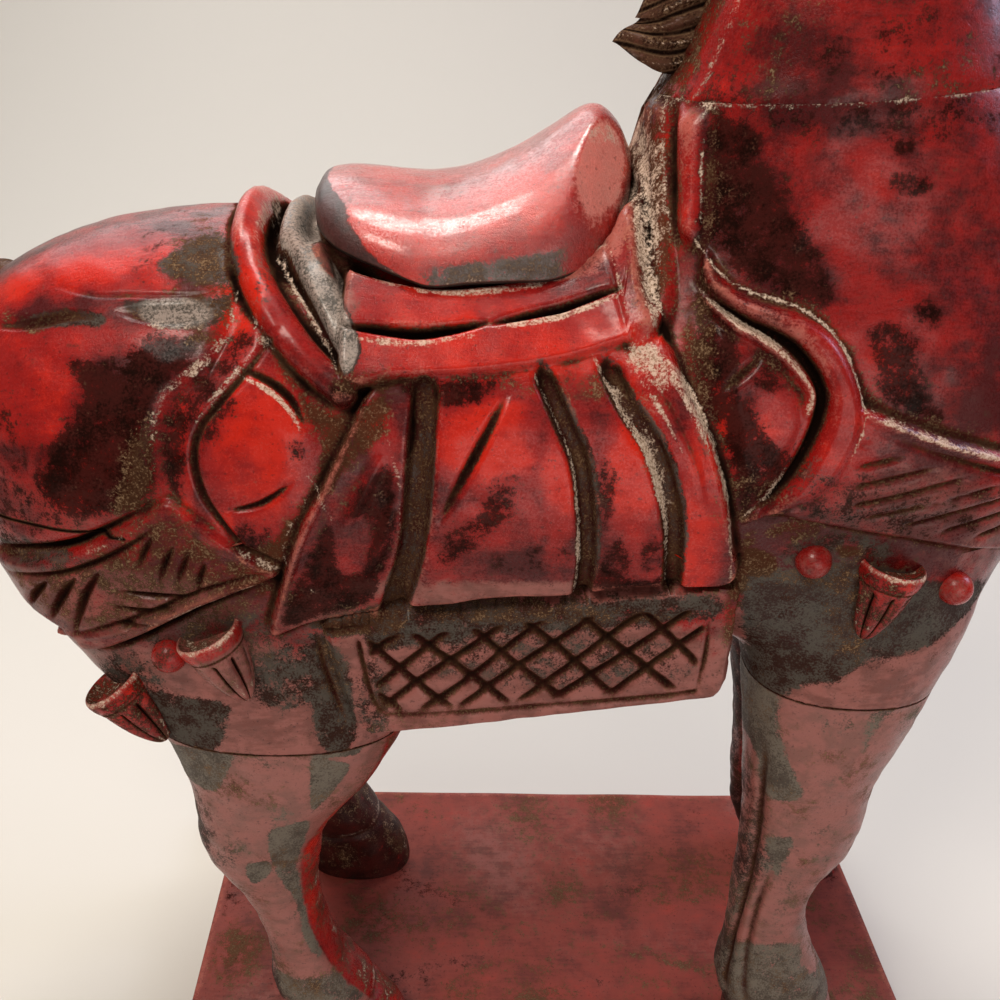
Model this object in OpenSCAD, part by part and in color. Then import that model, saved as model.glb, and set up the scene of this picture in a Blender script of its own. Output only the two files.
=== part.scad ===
// Carved and lacquered wooden horse, glued up from blocks with hidden dowels, standing on a board.
// Millimetres. +X is the way the horse faces, +Y its left side, +Z up.
// The origin is the middle of the board's underside.

/* [Board] */
// Length of the board, along the horse
board_l = 180; // [150:1:240]
// Width of the board
board_w = 104; // [90:1:140]
// Thickness of the board
board_t = 14; // [10:0.5:22]
// Chamfer round the top edge of the board
board_chamfer = 1.2; // [0.4:0.1:3]

/* [Trunk] */
// Length of the trunk, rump to breast
trunk_l = 211; // [180:1:250]
// Width of the trunk without harness
trunk_w = 76; // [66:1:90]
// Height of the back above the board
back_h = 189; // [175:1:205]
// Height of the belly above the board
belly_h = 106; // [95:0.5:110]
// Where the rump ends, measured along X
rump_x = -122; // [-140:1:-105]

/* [Glue lines] */
// Height of the level glue line through the trunk, above the board
split_h = 145; // [135:0.5:155]
// Where the neck glue line starts at the withers, along X
withers_x = 3; // [-3:0.5:8]
// Height of the neck glue line at the withers, above the board
neck_seam_h = 212.5; // [208:0.5:222]
// Rise of the neck glue line towards the breast, in degrees
neck_seam_tilt = 6.5; // [0:0.5:10]
// Height of the fore-leg glue line, above the board
fore_seam_h = 111; // [100:0.5:116]
// Height of the hind-leg glue line, above the board
hind_seam_h = 98; // [88:0.5:104]

/* [Neck and head] */
// Length of the neck at its glue line, crest to throat
neck_l = 60; // [50:1:72]
// Width of the neck at its glue line
neck_w = 54; // [44:1:64]
// Height of the neck above its glue line
neck_h = 60; // [48:1:75]
// Forward lean of the neck from the glue line to the poll
neck_lean = 37; // [20:1:50]
// How far the poll lies ahead of the lean of the neck
poll_ahead = 3; // [0:0.5:8]
// How far the poll lies below the top of the neck
poll_drop = 7; // [3:0.5:12]
// Length of the head, poll to lips
head_l = 82; // [66:1:96]
// Width of the head across the cheeks
head_w = 35; // [28:0.5:42]
// Depth of the head at the jaw
head_d = 37; // [30:0.5:44]
// Slope of the face below level, in degrees
head_slope = 52; // [35:1:70]
// Height of the ears
ear_h = 21; // [14:0.5:28]
// Width of an ear at its foot
ear_w = 10; // [7:0.5:13]
// Distance between the middles of the ears
ear_gap = 17; // [13:0.5:22]

/* [Mane and tail] */
// Thickness of the mane
mane_t = 9; // [6:0.5:14]
// Reach of the mane behind the crest
mane_reach = 9.5; // [7:0.5:16]
// Drop of the tail's root below the back
tail_drop = 11; // [6:0.5:18]
// Length of the bound tail
tail_l = 54; // [40:1:64]
// Width of the tail
tail_w = 19; // [12:0.5:26]
// Thickness of the tail, fore and aft
tail_t = 16; // [12:0.5:20]

/* [Legs] */
// Distance between the middles of a left and a right leg
leg_track = 54; // [44:0.5:60]
// Thickness of a leg at the cannon, across the horse
cannon_w = 15; // [11:0.5:20]
// Thickness of a leg at the cannon, along the horse
cannon_l = 16.5; // [12:0.5:21]
// Length of a hoof
hoof_l = 28; // [22:0.5:34]
// Width of a hoof
hoof_w = 19; // [16:0.5:26]
// Where the right fore hoof stands, along X
fore_hoof_x = 55; // [40:1:62]
// How far the left fore hoof stands ahead of the right one
fore_stride = 20; // [0:1:21]
// Where the right hind hoof stands, along X
hind_hoof_x = -49; // [-62:1:-40]
// How far the left hind hoof stands behind the right one
hind_stride = 3; // [0:1:14]

/* [Saddle and harness] */
// Middle of the saddle, along X
saddle_x = -27; // [-32:0.5:-22]
// Length of the saddle
saddle_l = 55; // [46:0.5:60]
// Width of the saddle
saddle_w = 50; // [40:0.5:56]
// Height of the pommel above the back of the trunk
pommel_h = 23; // [18:0.5:28]
// Height of the seat above the back of the trunk
seat_h = 11; // [9:0.5:14]
// Relief of the saddle pad on the trunk
pad_t = 4.5; // [3:0.1:6]
// Relief of the saddle skirt on the trunk
skirt_t = 3.5; // [2.5:0.1:5]
// Distance between the outer faces of the lattice flaps
flap_w = 79; // [77:0.5:84]
// Relief of the straps and of the rear drape
strap_t = 1.8; // [1:0.1:3]
// Diameter of a harness bead
bead_d = 6.2; // [5:0.1:8]
// Length of a carved tassel
tassel_l = 16; // [12:0.5:18]
// Diameter of a carved tassel at its rim
tassel_d = 11.5; // [8:0.5:14]

/* [Dowels] */
// Diameter of the dowels in the trunk, neck and legs
dowel_d = 8; // [5:0.5:10]
// Length of the dowels in the trunk, neck and legs
dowel_l = 28; // [18:1:34]
// Diameter of the pegs in the small pieces
peg_d = 4; // [3:0.5:5]
// Length of the pegs in the small pieces
peg_l = 14; // [10:0.5:16]
// Depth of a hoof peg in the board
hoof_peg_depth = 9; // [5:0.5:9.5]
// Radial clearance of dowels and pegs, and glue gap of the shaped pieces
fit = 0.1; // [0.05:0.05:0.3]

/* [Hidden] */
lacquer = [0.66, 0.10, 0.07];
dark_lacquer = [0.16, 0.08, 0.06];
bare_wood = [0.76, 0.60, 0.40];
trunk_facets = 32;
leg_facets = 24;
round_facets = 32;
trunk_power = 2.15;
leg_power = 2.3;
far = 400;

// Heights above the ground
belly_z = board_t + belly_h;
back_z = board_t + back_h;
split_z = board_t + split_h;
fore_seam_z = board_t + fore_seam_h;
hind_seam_z = board_t + hind_seam_h;
neck_seam_z = board_t + neck_seam_h;
tail_top_z = back_z - tail_drop;

// Trunk stations: share of the length, top and bottom as shares of belly to back, share of the width
TRUNK = [[0, 0.66, 0.5, 0.1], [0.014, 0.76, 0.37, 0.36], [0.047, 0.84, 0.23, 0.62],
    [0.1, 0.92, 0.1, 0.84], [0.18, 0.98, 0.03, 0.96], [0.28, 1, 0, 1], [0.39, 0.98, 0, 1],
    [0.53, 0.98, 0.01, 1], [0.65, 1.03, 0.05, 1.01], [0.77, 1.05, 0.1, 1], [0.86, 1, 0.17, 0.91],
    [0.935, 0.88, 0.29, 0.71], [0.98, 0.76, 0.41, 0.44], [1, 0.67, 0.52, 0.13]];

// Neck stations: share of the height above the glue line, crest and throat as shares of the length
// with the lean taken out, share of the width
NECK = [[-1, -0.32, 1.35, 1.33], [-0.67, -0.22, 1.32, 1.3], [-0.33, -0.12, 1.18, 1.15], [0, 0, 1, 1],
    [0.33, -0.05, 0.68, 0.85], [0.67, -0.08, 0.41, 0.74], [0.9, -0.03, 0.23, 0.58], [1, 0.05, 0.14, 0.2]];

// Head stations: share of the length, forehead and jaw as shares of the depth, share of the width
HEAD = [[-0.2, -0.06, -0.2, 0.16], [-0.17, 0.08, -0.32, 0.46], [-0.1, 0.21, -0.43, 0.7],
    [0, 0.32, -0.54, 0.88], [0.14, 0.36, -0.64, 1], [0.3, 0.31, -0.65, 0.94],
    [0.47, 0.25, -0.47, 0.74], [0.66, 0.23, -0.36, 0.6], [0.83, 0.25, -0.35, 0.6], [0.95, 0.19, -0.3, 0.53],
    [1, 0.08, -0.18, 0.34]];

// Leg stations: height above the board under a belly 106 above it, back and front from the middle of
// the hoof, inner and outer from the middle of the leg
leg_k = belly_h / 106;
FORE = [[0, -hoof_l / 2, hoof_l / 2, -hoof_w / 2, hoof_w / 2],
    [9, -0.5 - hoof_l / 2, hoof_l / 2 - 1.6, 0.3 - hoof_w / 2, hoof_w / 2 - 0.3],
    [18, -16.2, 9.2, -8.8, 8.2],
    [27, -17.8, 5.6, -8.6, 7.8],
    [37, -1.9 - cannon_l, 0.8, -cannon_w / 2, cannon_w / 2],
    [48, -1.9 - cannon_l, -1.9, -cannon_w / 2, cannon_w / 2],
    [57, -18.6, -0.4, -8.2, 7.6],
    [65, -19.2, 3.4, -9.2, 8.1],
    [76, -20.3, 4.9, -10.4, 9],
    [86, -21.7, 5.3, -12, 9.6],
    [96, -23, 8.2, -14.2, 10.2],
    [112, -26, 11.8, -17.5, 11],
    [131, -33, 15.5, -21, 11.2],
    [161, -35, 13, -23, 6]];
HIND = [[0, -hoof_l / 2, hoof_l / 2, -hoof_w / 2, hoof_w / 2],
    [9, -0.8 - hoof_l / 2, hoof_l / 2 - 2.5, 0.3 - hoof_w / 2, hoof_w / 2 - 0.3],
    [18, -16.3, 5, -8.8, 8.2],
    [27, -17.8, -1.4, -8.6, 7.8],
    [38, -4.9 - cannon_l * 0.82, -4.9, -cannon_w / 2, cannon_w / 2],
    [50, -7.2 - cannon_l * 0.92, -7.2, -cannon_w / 2, cannon_w / 2],
    [62, -29.3, -6.7, -9, 8.6],
    [69, -31.2, -5.6, -10.4, 9.4],
    [77, -31.2, -0.8, -12.2, 10.2],
    [86, -32.4, 6.2, -14.5, 10.8],
    [98, -37.5, 12, -17.5, 11.2],
    [114, -49, 13, -20.5, 11.2],
    [131, -58.5, 12, -22.5, 10.5],
    [161, -58, 9, -24.5, 6]];

leg_top_h = FORE[len(FORE) - 1][0] * leg_k;

// Outlines of the carved harness seen from the side, along X and Z, with its tassels and beads. They are
// drawn in place on a trunk of these sizes and follow it when it changes.
drawn_rump_x = -122;
drawn_belly_z = 120;
drawn_trunk_l = 211;
drawn_trunk_h = 83;
function trunk_x(x) = rump_x + (x - drawn_rump_x) * trunk_l / drawn_trunk_l;
function trunk_z(z) = belly_z + (z - drawn_belly_z) * (back_z - belly_z) / drawn_trunk_h;
SKIRT = [[-36, 200], [-34, 172], [-37, 147], [-31, 147], [-21, 149], [-8, 150], [1, 152], [19, 153.5],
    [16, 165], [12, 177], [7, 187], [1, 198]];
FLAP = [[-52.3, 144.5], [-49.5, 131], [-46.5, 120.5], [-43, 118.5], [-14, 123], [19, 129], [21.5, 132],
    [19, 156]];
DRAPE = [[-36, 190], [-43, 184], [-50, 169], [-54, 160], [-60, 140], [-52, 143], [-36, 146]];
PAD = [[-47, 240], [-47, 187.5], [-27, 187.5], [-16, 189.5], [-7, 192], [1.5, 197], [0, 205], [-3, 212],
    [-4, 240]];
ROLL = [[-66, 240], [-66, 203], [-63, 196], [-57, 190], [-51, 186.5], [-44, 183.5], [-44, 192],
    [-51, 196], [-55, 201], [-56, 240]];
COLLAR = [[-8, 226], [-2, 210], [1.5, 196], [8, 204], [8.5, 218], [6, 227.5]];
LOOP = [[7, 207], [12, 203.5], [21, 200.5], [28, 197], [32.5, 192], [34, 186], [32, 179], [27, 173],
    [18, 168.5], [12, 167], [13, 162], [20, 164.5], [24, 172], [27, 180], [26.5, 187], [23.5, 192.5],
    [17, 197], [9, 201]];
BREAST = [[32, 189], [39, 185.5], [49, 182], [60, 178], [100, 170], [100, 147], [67.6, 153.8], [56, 157],
    [44, 164], [33, 169], [22, 168]];
HIP = [[-58, 153], [-63, 157.5], [-75, 167], [-79, 165], [-87, 159.5], [-94, 155.3], [-106, 150], [-135, 150],
    [-135, 142], [-101, 139], [-93, 133.5], [-84, 138], [-72, 146]];

// Beads on the right side: X, distance from the middle, Z
BREAST_BEADS = [[32, trunk_w / 2 + 0.5, 158], [59.2, trunk_w / 2 - 1.4, 152]];
RUMP_BEADS = [[-78, trunk_w / 2, 135]];

function seg(tab, t) = max([0, for (i = [0 : len(tab) - 2]) if (tab[i][0] <= t) i]);
function rise(tab, a, b, c) = (tab[b][c] - tab[a][c]) / (tab[b][0] - tab[a][0]);
function slope(tab, i, c) = rise(tab, max(i - 1, 0), min(i + 1, len(tab) - 1), c);
// Smooth curve through column c of a table of stations
function curve(tab, t, c) = let (i = seg(tab, t), h = tab[i + 1][0] - tab[i][0], s = (t - tab[i][0]) / h)
    (2 * s ^ 3 - 3 * s ^ 2 + 1) * tab[i][c] + (s ^ 3 - 2 * s ^ 2 + s) * h * slope(tab, i, c)
    + (3 * s ^ 2 - 2 * s ^ 3) * tab[i + 1][c] + (s ^ 3 - s ^ 2) * h * slope(tab, i + 1, c);
function power(v, p) = sign(v) * abs(v) ^ (2 / p);
// Points of a rounded section with half sizes a and b
function oval(a, b, p, n) = [for (k = [0 : n - 1]) [a * power(cos(360 * k / n), p),
    b * power(sin(360 * k / n), p)]];
function steps(a, b, n) = [for (k = [0 : n]) a + (b - a) * k / n];
function mid(a, b) = (a + b) / 2;

// Solid through rings of points, each ring seen anticlockwise from the far end
module loft(rings) {
    n = len(rings[0]);
    m = len(rings);
    sides = [for (j = [0 : m - 2], k = [0 : n - 1]) let (a = j * n + k, b = j * n + (k + 1) % n)
        each [[a, a + n, b], [b, a + n, b + n]]];
    polyhedron([for (r = rings) each r],
        concat(sides, [[for (k = [0 : n - 1]) k]], [[for (k = [n - 1 : -1 : 0]) (m - 1) * n + k]]),
        convexity = 6);
}

// Several lofts joined into one carved block, at their own size
module one_block() {
    resize([0, 0, 0]) union() children();
}

// Prism across the horse with an outline given along X and Z
module across(outline, half = far / 2) {
    rotate([90, 0, 0]) linear_extrude(2 * half, center = true) polygon(outline);
}

// The same with an outline of the harness
module harness(outline, half = far / 2) {
    across([for (p = outline) [trunk_x(p[0]), trunk_z(p[1])]], half);
}

module above(z) {
    translate([-far / 2, -far / 2, z]) cube([far, far, far]);
}

module below(z) {
    translate([-far / 2, -far / 2, z - far]) cube([far, far, far]);
}

function trunk_ring(s, g) = let (top = belly_z + (back_z - belly_z) * curve(TRUNK, s, 1),
    low = belly_z + (back_z - belly_z) * curve(TRUNK, s, 2), half = trunk_w / 2 * curve(TRUNK, s, 3))
    [for (p = oval(half + g, (top - low) / 2 + g, trunk_power, trunk_facets))
    [rump_x + trunk_l * s, p[0], mid(top, low) + p[1]]];

module trunk_form(g = 0) {
    ends = [0, 0.007, 0.02, 0.045, 0.08];
    shares = concat(ends, steps(0.13, 0.85, 12), [0.89, 0.925, 0.955, 0.98, 0.993, 1]);
    loft([for (s = shares) trunk_ring(s, g)]);
}

function crest(u) = neck_lean * max(u, 0) + neck_l * curve(NECK, u, 1);
function throat(u) = neck_lean * max(u, 0) + neck_l * curve(NECK, u, 2);
function neck_ring(u, g) = let (half = neck_w / 2 * curve(NECK, u, 3), back = crest(u), front = throat(u))
    [for (p = oval((front - back) / 2 + g, half + g, trunk_power, trunk_facets))
    [mid(front, back) + p[0], p[1], neck_h * u]];

// Everything in the frame of the neck's glue line, which starts at its crest end
module on_neck_seam() {
    translate([withers_x, 0, neck_seam_z]) rotate([0, -neck_seam_tilt, 0]) children();
}

module neck_form(from, to, count, g = 0) {
    on_neck_seam() loft([for (u = steps(from, to, count)) neck_ring(u, g)]);
}

// A leg: its stations, side, where the hoof stands, how far it steps ahead, height of its glue line
right_fore = [FORE, -1, fore_hoof_x, 0, fore_seam_h];
left_fore = [FORE, 1, fore_hoof_x, fore_stride, fore_seam_h];
right_hind = [HIND, -1, hind_hoof_x, 0, hind_seam_h];
left_hind = [HIND, 1, hind_hoof_x, -hind_stride, hind_seam_h];
legs = [right_fore, left_fore, right_hind, left_hind];
leg_straight_h = leg_top_h * 0.93;

function leg_at(leg, h, c) = curve(leg[0], h / leg_k, c);
// Middle of a leg's section at a height above the board
function leg_mid(leg, h) = [leg[2] + leg[3] * max(0, 1 - h / leg_straight_h)
    + mid(leg_at(leg, h, 1), leg_at(leg, h, 2)),
    leg[1] * (leg_track / 2 + mid(leg_at(leg, h, 3), leg_at(leg, h, 4))), board_t + h];

// Tassels on the right side: X, distance from the middle, Z of the rim, lean of the tip in degrees. The
// last hangs at the back of the thigh.
thigh_tassel_h = 112.5 * leg_k;
TASSELS = [[trunk_x(46), trunk_w / 2 + 0.5, trunk_z(158), -7],
    [trunk_x(-71), trunk_w / 2 + 1, trunk_z(141), 23],
    [hind_hoof_x + leg_at(right_hind, thigh_tassel_h, 1) + tassel_d * 0.6, leg_track / 2 + tassel_d * 0.7,
    board_t + thigh_tassel_h, 32]];

function leg_ring(leg, h, g) = let (m = leg_mid(leg, h), a = (leg_at(leg, h, 2) - leg_at(leg, h, 1)) / 2,
    b = (leg_at(leg, h, 4) - leg_at(leg, h, 3)) / 2)
    [for (p = oval(a + g, b + g, leg_power, leg_facets)) m + [p[0], p[1], 0]];

module leg_form(leg, from, to, count, g = 0) {
    loft([for (h = steps(from, to, count)) leg_ring(leg, h, g)]);
}

// The shoulders and thighs above the leg glue lines
module leg_roots(g = 0) {
    for (leg = legs) {
        leg_form(leg, leg[4], leg_top_h, 5, g);
    }
}

// Trunk cut clear of the legs, root of the neck and roots of the legs, all grown by g
module body_form(g = 0) {
    difference() {
        trunk_form(g);
        for (leg = legs) {
            leg_form(leg, 0, leg[4], 13, g);
        }
    }
    neck_form(-1, 0, 8, g);
    leg_roots(g);
}

// One part of the harness, standing g proud of the body
module relief(outline, g) {
    intersection() {
        body_form(g);
        harness(outline);
    }
}

module pad() {
    intersection() {
        trunk_form(pad_t);
        harness(PAD);
    }
}

module flaps() {
    depth = trunk_w * 0.16;
    for (side = [-1, 1]) {
        translate([0, side * (flap_w - depth) / 2, 0]) harness(FLAP, depth / 2);
    }
}

// Bud-shaped tassel hanging from its rim, half buried in the body
module tassel(at, side) {
    outline = [[0, 0], [0.5, 0], [0.47, -0.25], [0.36, -0.6], [0.17, -0.92], [0, -1]];
    translate([at[0], side * at[1], at[2]]) rotate([0, -at[3], 0])
        rotate_extrude($fn = 20) polygon([for (p = outline) [p[0] * tassel_d, p[1] * tassel_l]]);
}

module balls(places, d) {
    for (p = places, side = [-1, 1]) {
        translate([trunk_x(p[0]), side * p[1], trunk_z(p[2])]) sphere(d = d, $fn = 20);
    }
}

// The body with its carved harness and the sockets of the beads
module carved_body() {
    difference() {
        union() {
            body_form();
            relief(SKIRT, skirt_t);
            relief(DRAPE, strap_t);
            pad();
            relief(ROLL, skirt_t);
            relief(COLLAR, strap_t);
            relief(LOOP, strap_t);
            relief(BREAST, strap_t);
            relief(HIP, strap_t);
            flaps();
            for (at = TASSELS, side = [-1, 1]) {
                tassel(at, side);
            }
        }
        balls(concat(BREAST_BEADS, RUMP_BEADS), bead_d + 2 * fit);
    }
}

// Upright round rod standing on z 0
module rod(d, l) {
    cylinder(h = l, d = d, $fn = round_facets);
}

// Where the dowels and pegs sit: each child is an upright rod with its middle on the glue line
module at_trunk_dowels() {
    for (share = [0.21, 0.78], side = [-1, 1]) {
        translate([rump_x + trunk_l * share, side * trunk_w / 5, split_z]) children();
    }
}

module at_neck_dowels() {
    for (share = [0.32, 0.72]) {
        on_neck_seam() translate([neck_l * share, 0, 0]) children();
    }
}

module at_leg_dowel(leg) {
    translate(leg_mid(leg, leg[4])) children();
}

module at_hoof_peg(leg) {
    translate(leg_mid(leg, 0)) children();
}

module at_mane_pegs() {
    for (u = [0.3, 0.68]) {
        on_neck_seam() translate([crest(u), 0, neck_h * u]) rotate([0, 90, 0]) children();
    }
}

module at_ear_peg(side) {
    on_ear(side) translate([0, 0, -ear_sink * ear_h]) children();
}

module at_tail_peg() {
    translate([rump_x + peg_l * 0.15, 0, tail_top_z - tail_l * 0.3]) rotate([0, 90, 0]) children();
}

module at_saddle_pegs() {
    for (share = [-0.25, 0.25]) {
        translate([saddle_x + saddle_l * share, 0, saddle_z + pad_t - peg_l * 0.3]) children();
    }
}

module dowel() {
    translate([0, 0, -dowel_l / 2]) rod(dowel_d, dowel_l);
}

module dowel_bore() {
    translate([0, 0, -dowel_l / 2 - fit]) rod(dowel_d + 2 * fit, dowel_l + 2 * fit);
}

module peg(l = peg_l) {
    translate([0, 0, -l / 2]) rod(peg_d, l);
}

module peg_bore(l = peg_l) {
    translate([0, 0, -l / 2 - fit]) rod(peg_d + 2 * fit, l + 2 * fit);
}

module hoof_peg(d, gap) {
    translate([0, 0, -hoof_peg_depth - gap]) rod(d, peg_l + hoof_peg_depth + 2 * gap);
}

// Head, in a frame that starts at the poll and runs along the face
module on_head() {
    on_neck_seam() translate([neck_lean + poll_ahead, 0, neck_h - poll_drop])
        rotate([0, head_slope + neck_seam_tilt, 0]) children();
}

function head_ring(s, g) = let (top = head_d * curve(HEAD, s, 1), low = head_d * curve(HEAD, s, 2),
    half = head_w / 2 * curve(HEAD, s, 3))
    [for (p = oval(half + g, (top - low) / 2 + g, leg_power, leg_facets))
    [head_l * s, p[0], mid(top, low) + p[1]]];

module head_form(g = 0) {
    shares = concat([-0.2, -0.185, -0.15], steps(-0.1, 0.9, 10), [0.95, 0.98, 1]);
    on_head() loft([for (s = shares) head_ring(s, g)]);
}

module neck_and_head(g = 0) {
    neck_form(0, 1, 12, g);
    head_form(g);
}

// Ear, in a frame at its foot with z along the ear
module on_ear(side) {
    on_head() translate([1, side * ear_gap / 2, head_d * 0.27])
        rotate([-side * 12, -head_slope - neck_seam_tilt, 0]) children();
}

ear_sink = 0.3;
// Ear stations: share of the height, share of the foot
EAR = [[-ear_sink, 0.84], [0, 1], [0.3, 1.06], [0.6, 0.86], [0.85, 0.48], [1, 0.16]];

function ear_ring(s, g) = let (k = curve(EAR, s, 1) * ear_w)
    [for (p = oval(0.34 * k + g, 0.5 * k + g, 2, 14)) [p[0], p[1], ear_h * s]];

// An ear with its foot, which is let into the head
module ear_form(side, g = 0) {
    on_ear(side) loft([for (s = steps(-ear_sink, 1, 7)) ear_ring(s, g)]);
}

module ear(side) {
    difference() {
        ear_form(side);
        at_ear_peg(side) peg_bore();
    }
}

// Tail stations: share of the length, place along X from the rump end as a share of the thickness,
// shares of thickness and width
TAIL = [[0, 0.56, 0.5, 0.5], [0.12, 0.19, 0.8, 0.8], [0.3, -0.25, 1, 0.95], [0.5, -0.47, 0.95, 0.8],
    [0.62, -0.5, 0.85, 0.72], [0.8, -0.47, 1, 1], [0.95, -0.38, 0.7, 0.75], [1, -0.34, 0.4, 0.4]];

function tail_ring(s) = [for (p = oval(tail_t / 2 * curve(TAIL, s, 2), tail_w / 2 * curve(TAIL, s, 3), 2, 16))
    [rump_x + tail_t * curve(TAIL, s, 1) + p[0], p[1], tail_top_z - tail_l * s]];

saddle_z = belly_z + (back_z - belly_z) * curve(TRUNK, 0.45, 1);
// Saddle stations: share of the length from the cantle, shares of seat and pommel height, of the width
SADDLE = [[0, 0.5, 0, 0.55], [0.06, 0.8, 0, 0.8], [0.15, 0.9, 0, 0.93], [0.3, 0.91, 0, 1],
    [0.45, 0.92, 0.06, 1], [0.6, 0.96, 0.28, 0.95], [0.72, 1, 0.63, 0.82], [0.82, 1, 0.92, 0.64],
    [0.89, 1, 1, 0.5], [0.95, 1, 0.83, 0.38], [1, 0.9, 0.38, 0.25]];
saddle_power = 2.3;
saddle_bury = 6;

function saddle_ring(s) = let (top = seat_h * curve(SADDLE, s, 1) + (pommel_h - seat_h) * curve(SADDLE, s, 2))
    [for (p = oval(saddle_w / 2 * curve(SADDLE, s, 3), top + saddle_bury, saddle_power, leg_facets))
    [saddle_x + saddle_l * (s - 0.5), p[0], saddle_z - saddle_bury + p[1]]];

module base_board() {
    color(lacquer) difference() {
        hull() {
            translate([-board_l / 2, -board_w / 2, 0]) cube([board_l, board_w, board_t - board_chamfer]);
            translate([board_chamfer - board_l / 2, board_chamfer - board_w / 2, 0])
                cube([board_l - 2 * board_chamfer, board_w - 2 * board_chamfer, board_t]);
        }
        for (leg = legs) {
            at_hoof_peg(leg) hoof_peg(peg_d + 2 * fit, fit);
        }
    }
}

module trunk_lower_block() {
    color(lacquer) difference() {
        one_block() {
            intersection() {
                carved_body();
                below(split_z);
            }
        }
        at_trunk_dowels() dowel_bore();
        for (leg = legs) {
            at_leg_dowel(leg) dowel_bore();
        }
    }
}

module trunk_upper_block() {
    color(lacquer) difference() {
        one_block() {
            intersection() {
                carved_body();
                above(split_z);
            }
        }
        at_trunk_dowels() dowel_bore();
        at_neck_dowels() dowel_bore();
        at_tail_peg() peg_bore();
        at_saddle_pegs() peg_bore();
    }
}

module head_and_neck_block() {
    color(lacquer) difference() {
        one_block() {
            difference() {
                neck_and_head();
                for (side = [-1, 1]) {
                    ear_form(side, fit);
                }
            }
        }
        at_neck_dowels() dowel_bore();
        at_mane_pegs() peg_bore();
        for (side = [-1, 1]) {
            at_ear_peg(side) peg_bore();
        }
    }
}

module mane_crest() {
    locks = 6;
    foot_u = 0.05;
    top_u = 0.86;
    root_depth = 5;
    d = (top_u - foot_u) / locks;
    tips = [for (k = [0 : locks - 1]) let (a = foot_u + d * k)
        each [[crest(a + 0.15 * d) - mane_reach, neck_h * (a + 0.05 * d)],
        [crest(a + d) - mane_reach * 0.72, neck_h * (a + d)]]];
    roots = [for (u = steps(top_u, foot_u, 8)) [crest(u) + root_depth, neck_h * u]];
    color(dark_lacquer) difference() {
        one_block() {
            difference() {
                on_neck_seam() across(concat(tips, roots), mane_t / 2);
                neck_and_head(fit);
            }
        }
        at_mane_pegs() peg_bore();
    }
}

module left_ear() {
    color(lacquer) ear(1);
}

module right_ear() {
    color(lacquer) ear(-1);
}

module leg_piece(leg) {
    color(lacquer) difference() {
        leg_form(leg, 0, leg[4], 13);
        at_leg_dowel(leg) dowel_bore();
        at_hoof_peg(leg) hoof_peg(peg_d + 2 * fit, fit);
    }
}

module right_fore_leg() {
    leg_piece(right_fore);
}

module left_fore_leg() {
    leg_piece(left_fore);
}

module right_hind_leg() {
    leg_piece(right_hind);
}

module left_hind_leg() {
    leg_piece(left_hind);
}

module tail() {
    color(dark_lacquer) difference() {
        one_block() {
            difference() {
                loft([for (s = steps(1, 0, 11)) tail_ring(s)]);
                body_form(strap_t + fit);
            }
        }
        at_tail_peg() peg_bore();
    }
}

module saddle() {
    color(lacquer) difference() {
        one_block() {
            difference() {
                loft([for (s = steps(0, 1, 16)) saddle_ring(s)]);
                trunk_form(pad_t + fit);
                neck_form(-1, 0, 8, strap_t + fit);
            }
        }
        at_saddle_pegs() peg_bore();
    }
}

module breast_beads() {
    color(lacquer) balls(BREAST_BEADS, bead_d);
}

module rump_beads() {
    color(lacquer) balls(RUMP_BEADS, bead_d);
}

module trunk_dowels() {
    color(bare_wood) at_trunk_dowels() dowel();
}

module neck_dowels() {
    color(bare_wood) at_neck_dowels() dowel();
}

module leg_dowels() {
    color(bare_wood) for (leg = legs) {
        at_leg_dowel(leg) dowel();
    }
}

module hoof_pegs() {
    color(bare_wood) for (leg = legs) {
        at_hoof_peg(leg) hoof_peg(peg_d, 0);
    }
}

module mane_pegs() {
    color(bare_wood) at_mane_pegs() peg();
}

module ear_pegs() {
    color(bare_wood) for (side = [-1, 1]) {
        at_ear_peg(side) peg();
    }
}

module tail_peg() {
    color(bare_wood) at_tail_peg() peg();
}

module saddle_pegs() {
    color(bare_wood) at_saddle_pegs() peg();
}

base_board();
trunk_lower_block();
trunk_upper_block();
head_and_neck_block();
mane_crest();
left_ear();
right_ear();
right_fore_leg();
left_fore_leg();
right_hind_leg();
left_hind_leg();
tail();
saddle();
breast_beads();
rump_beads();
trunk_dowels();
neck_dowels();
leg_dowels();
hoof_pegs();
mane_pegs();
ear_pegs();
tail_peg();
saddle_pegs();
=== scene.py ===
"""Looks of a carved, red-lacquered wooden horse on a board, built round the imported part.

All sizes are in millimetres in the row frame and become metres when a mesh is made.
"""

import itertools
import logging
import math
from collections.abc import Callable
from dataclasses import dataclass, field, replace
from enum import Enum

import bpy
import numpy as np
from mathutils import Matrix


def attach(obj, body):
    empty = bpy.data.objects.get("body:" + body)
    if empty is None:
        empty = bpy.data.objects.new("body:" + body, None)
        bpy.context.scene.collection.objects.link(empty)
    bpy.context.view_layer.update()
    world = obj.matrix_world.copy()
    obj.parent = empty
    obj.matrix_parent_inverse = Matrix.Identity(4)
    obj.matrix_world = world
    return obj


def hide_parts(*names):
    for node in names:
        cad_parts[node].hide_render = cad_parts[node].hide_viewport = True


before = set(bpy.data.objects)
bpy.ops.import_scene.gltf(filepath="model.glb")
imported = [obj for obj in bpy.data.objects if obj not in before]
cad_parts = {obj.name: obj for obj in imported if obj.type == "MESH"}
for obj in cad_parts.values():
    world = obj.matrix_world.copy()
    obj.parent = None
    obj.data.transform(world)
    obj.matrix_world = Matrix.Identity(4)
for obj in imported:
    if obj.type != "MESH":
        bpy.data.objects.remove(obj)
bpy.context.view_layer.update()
LOG = logging.getLogger("horse")
MM = 0.001
Rows = tuple[tuple[float, ...], ...]
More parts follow.
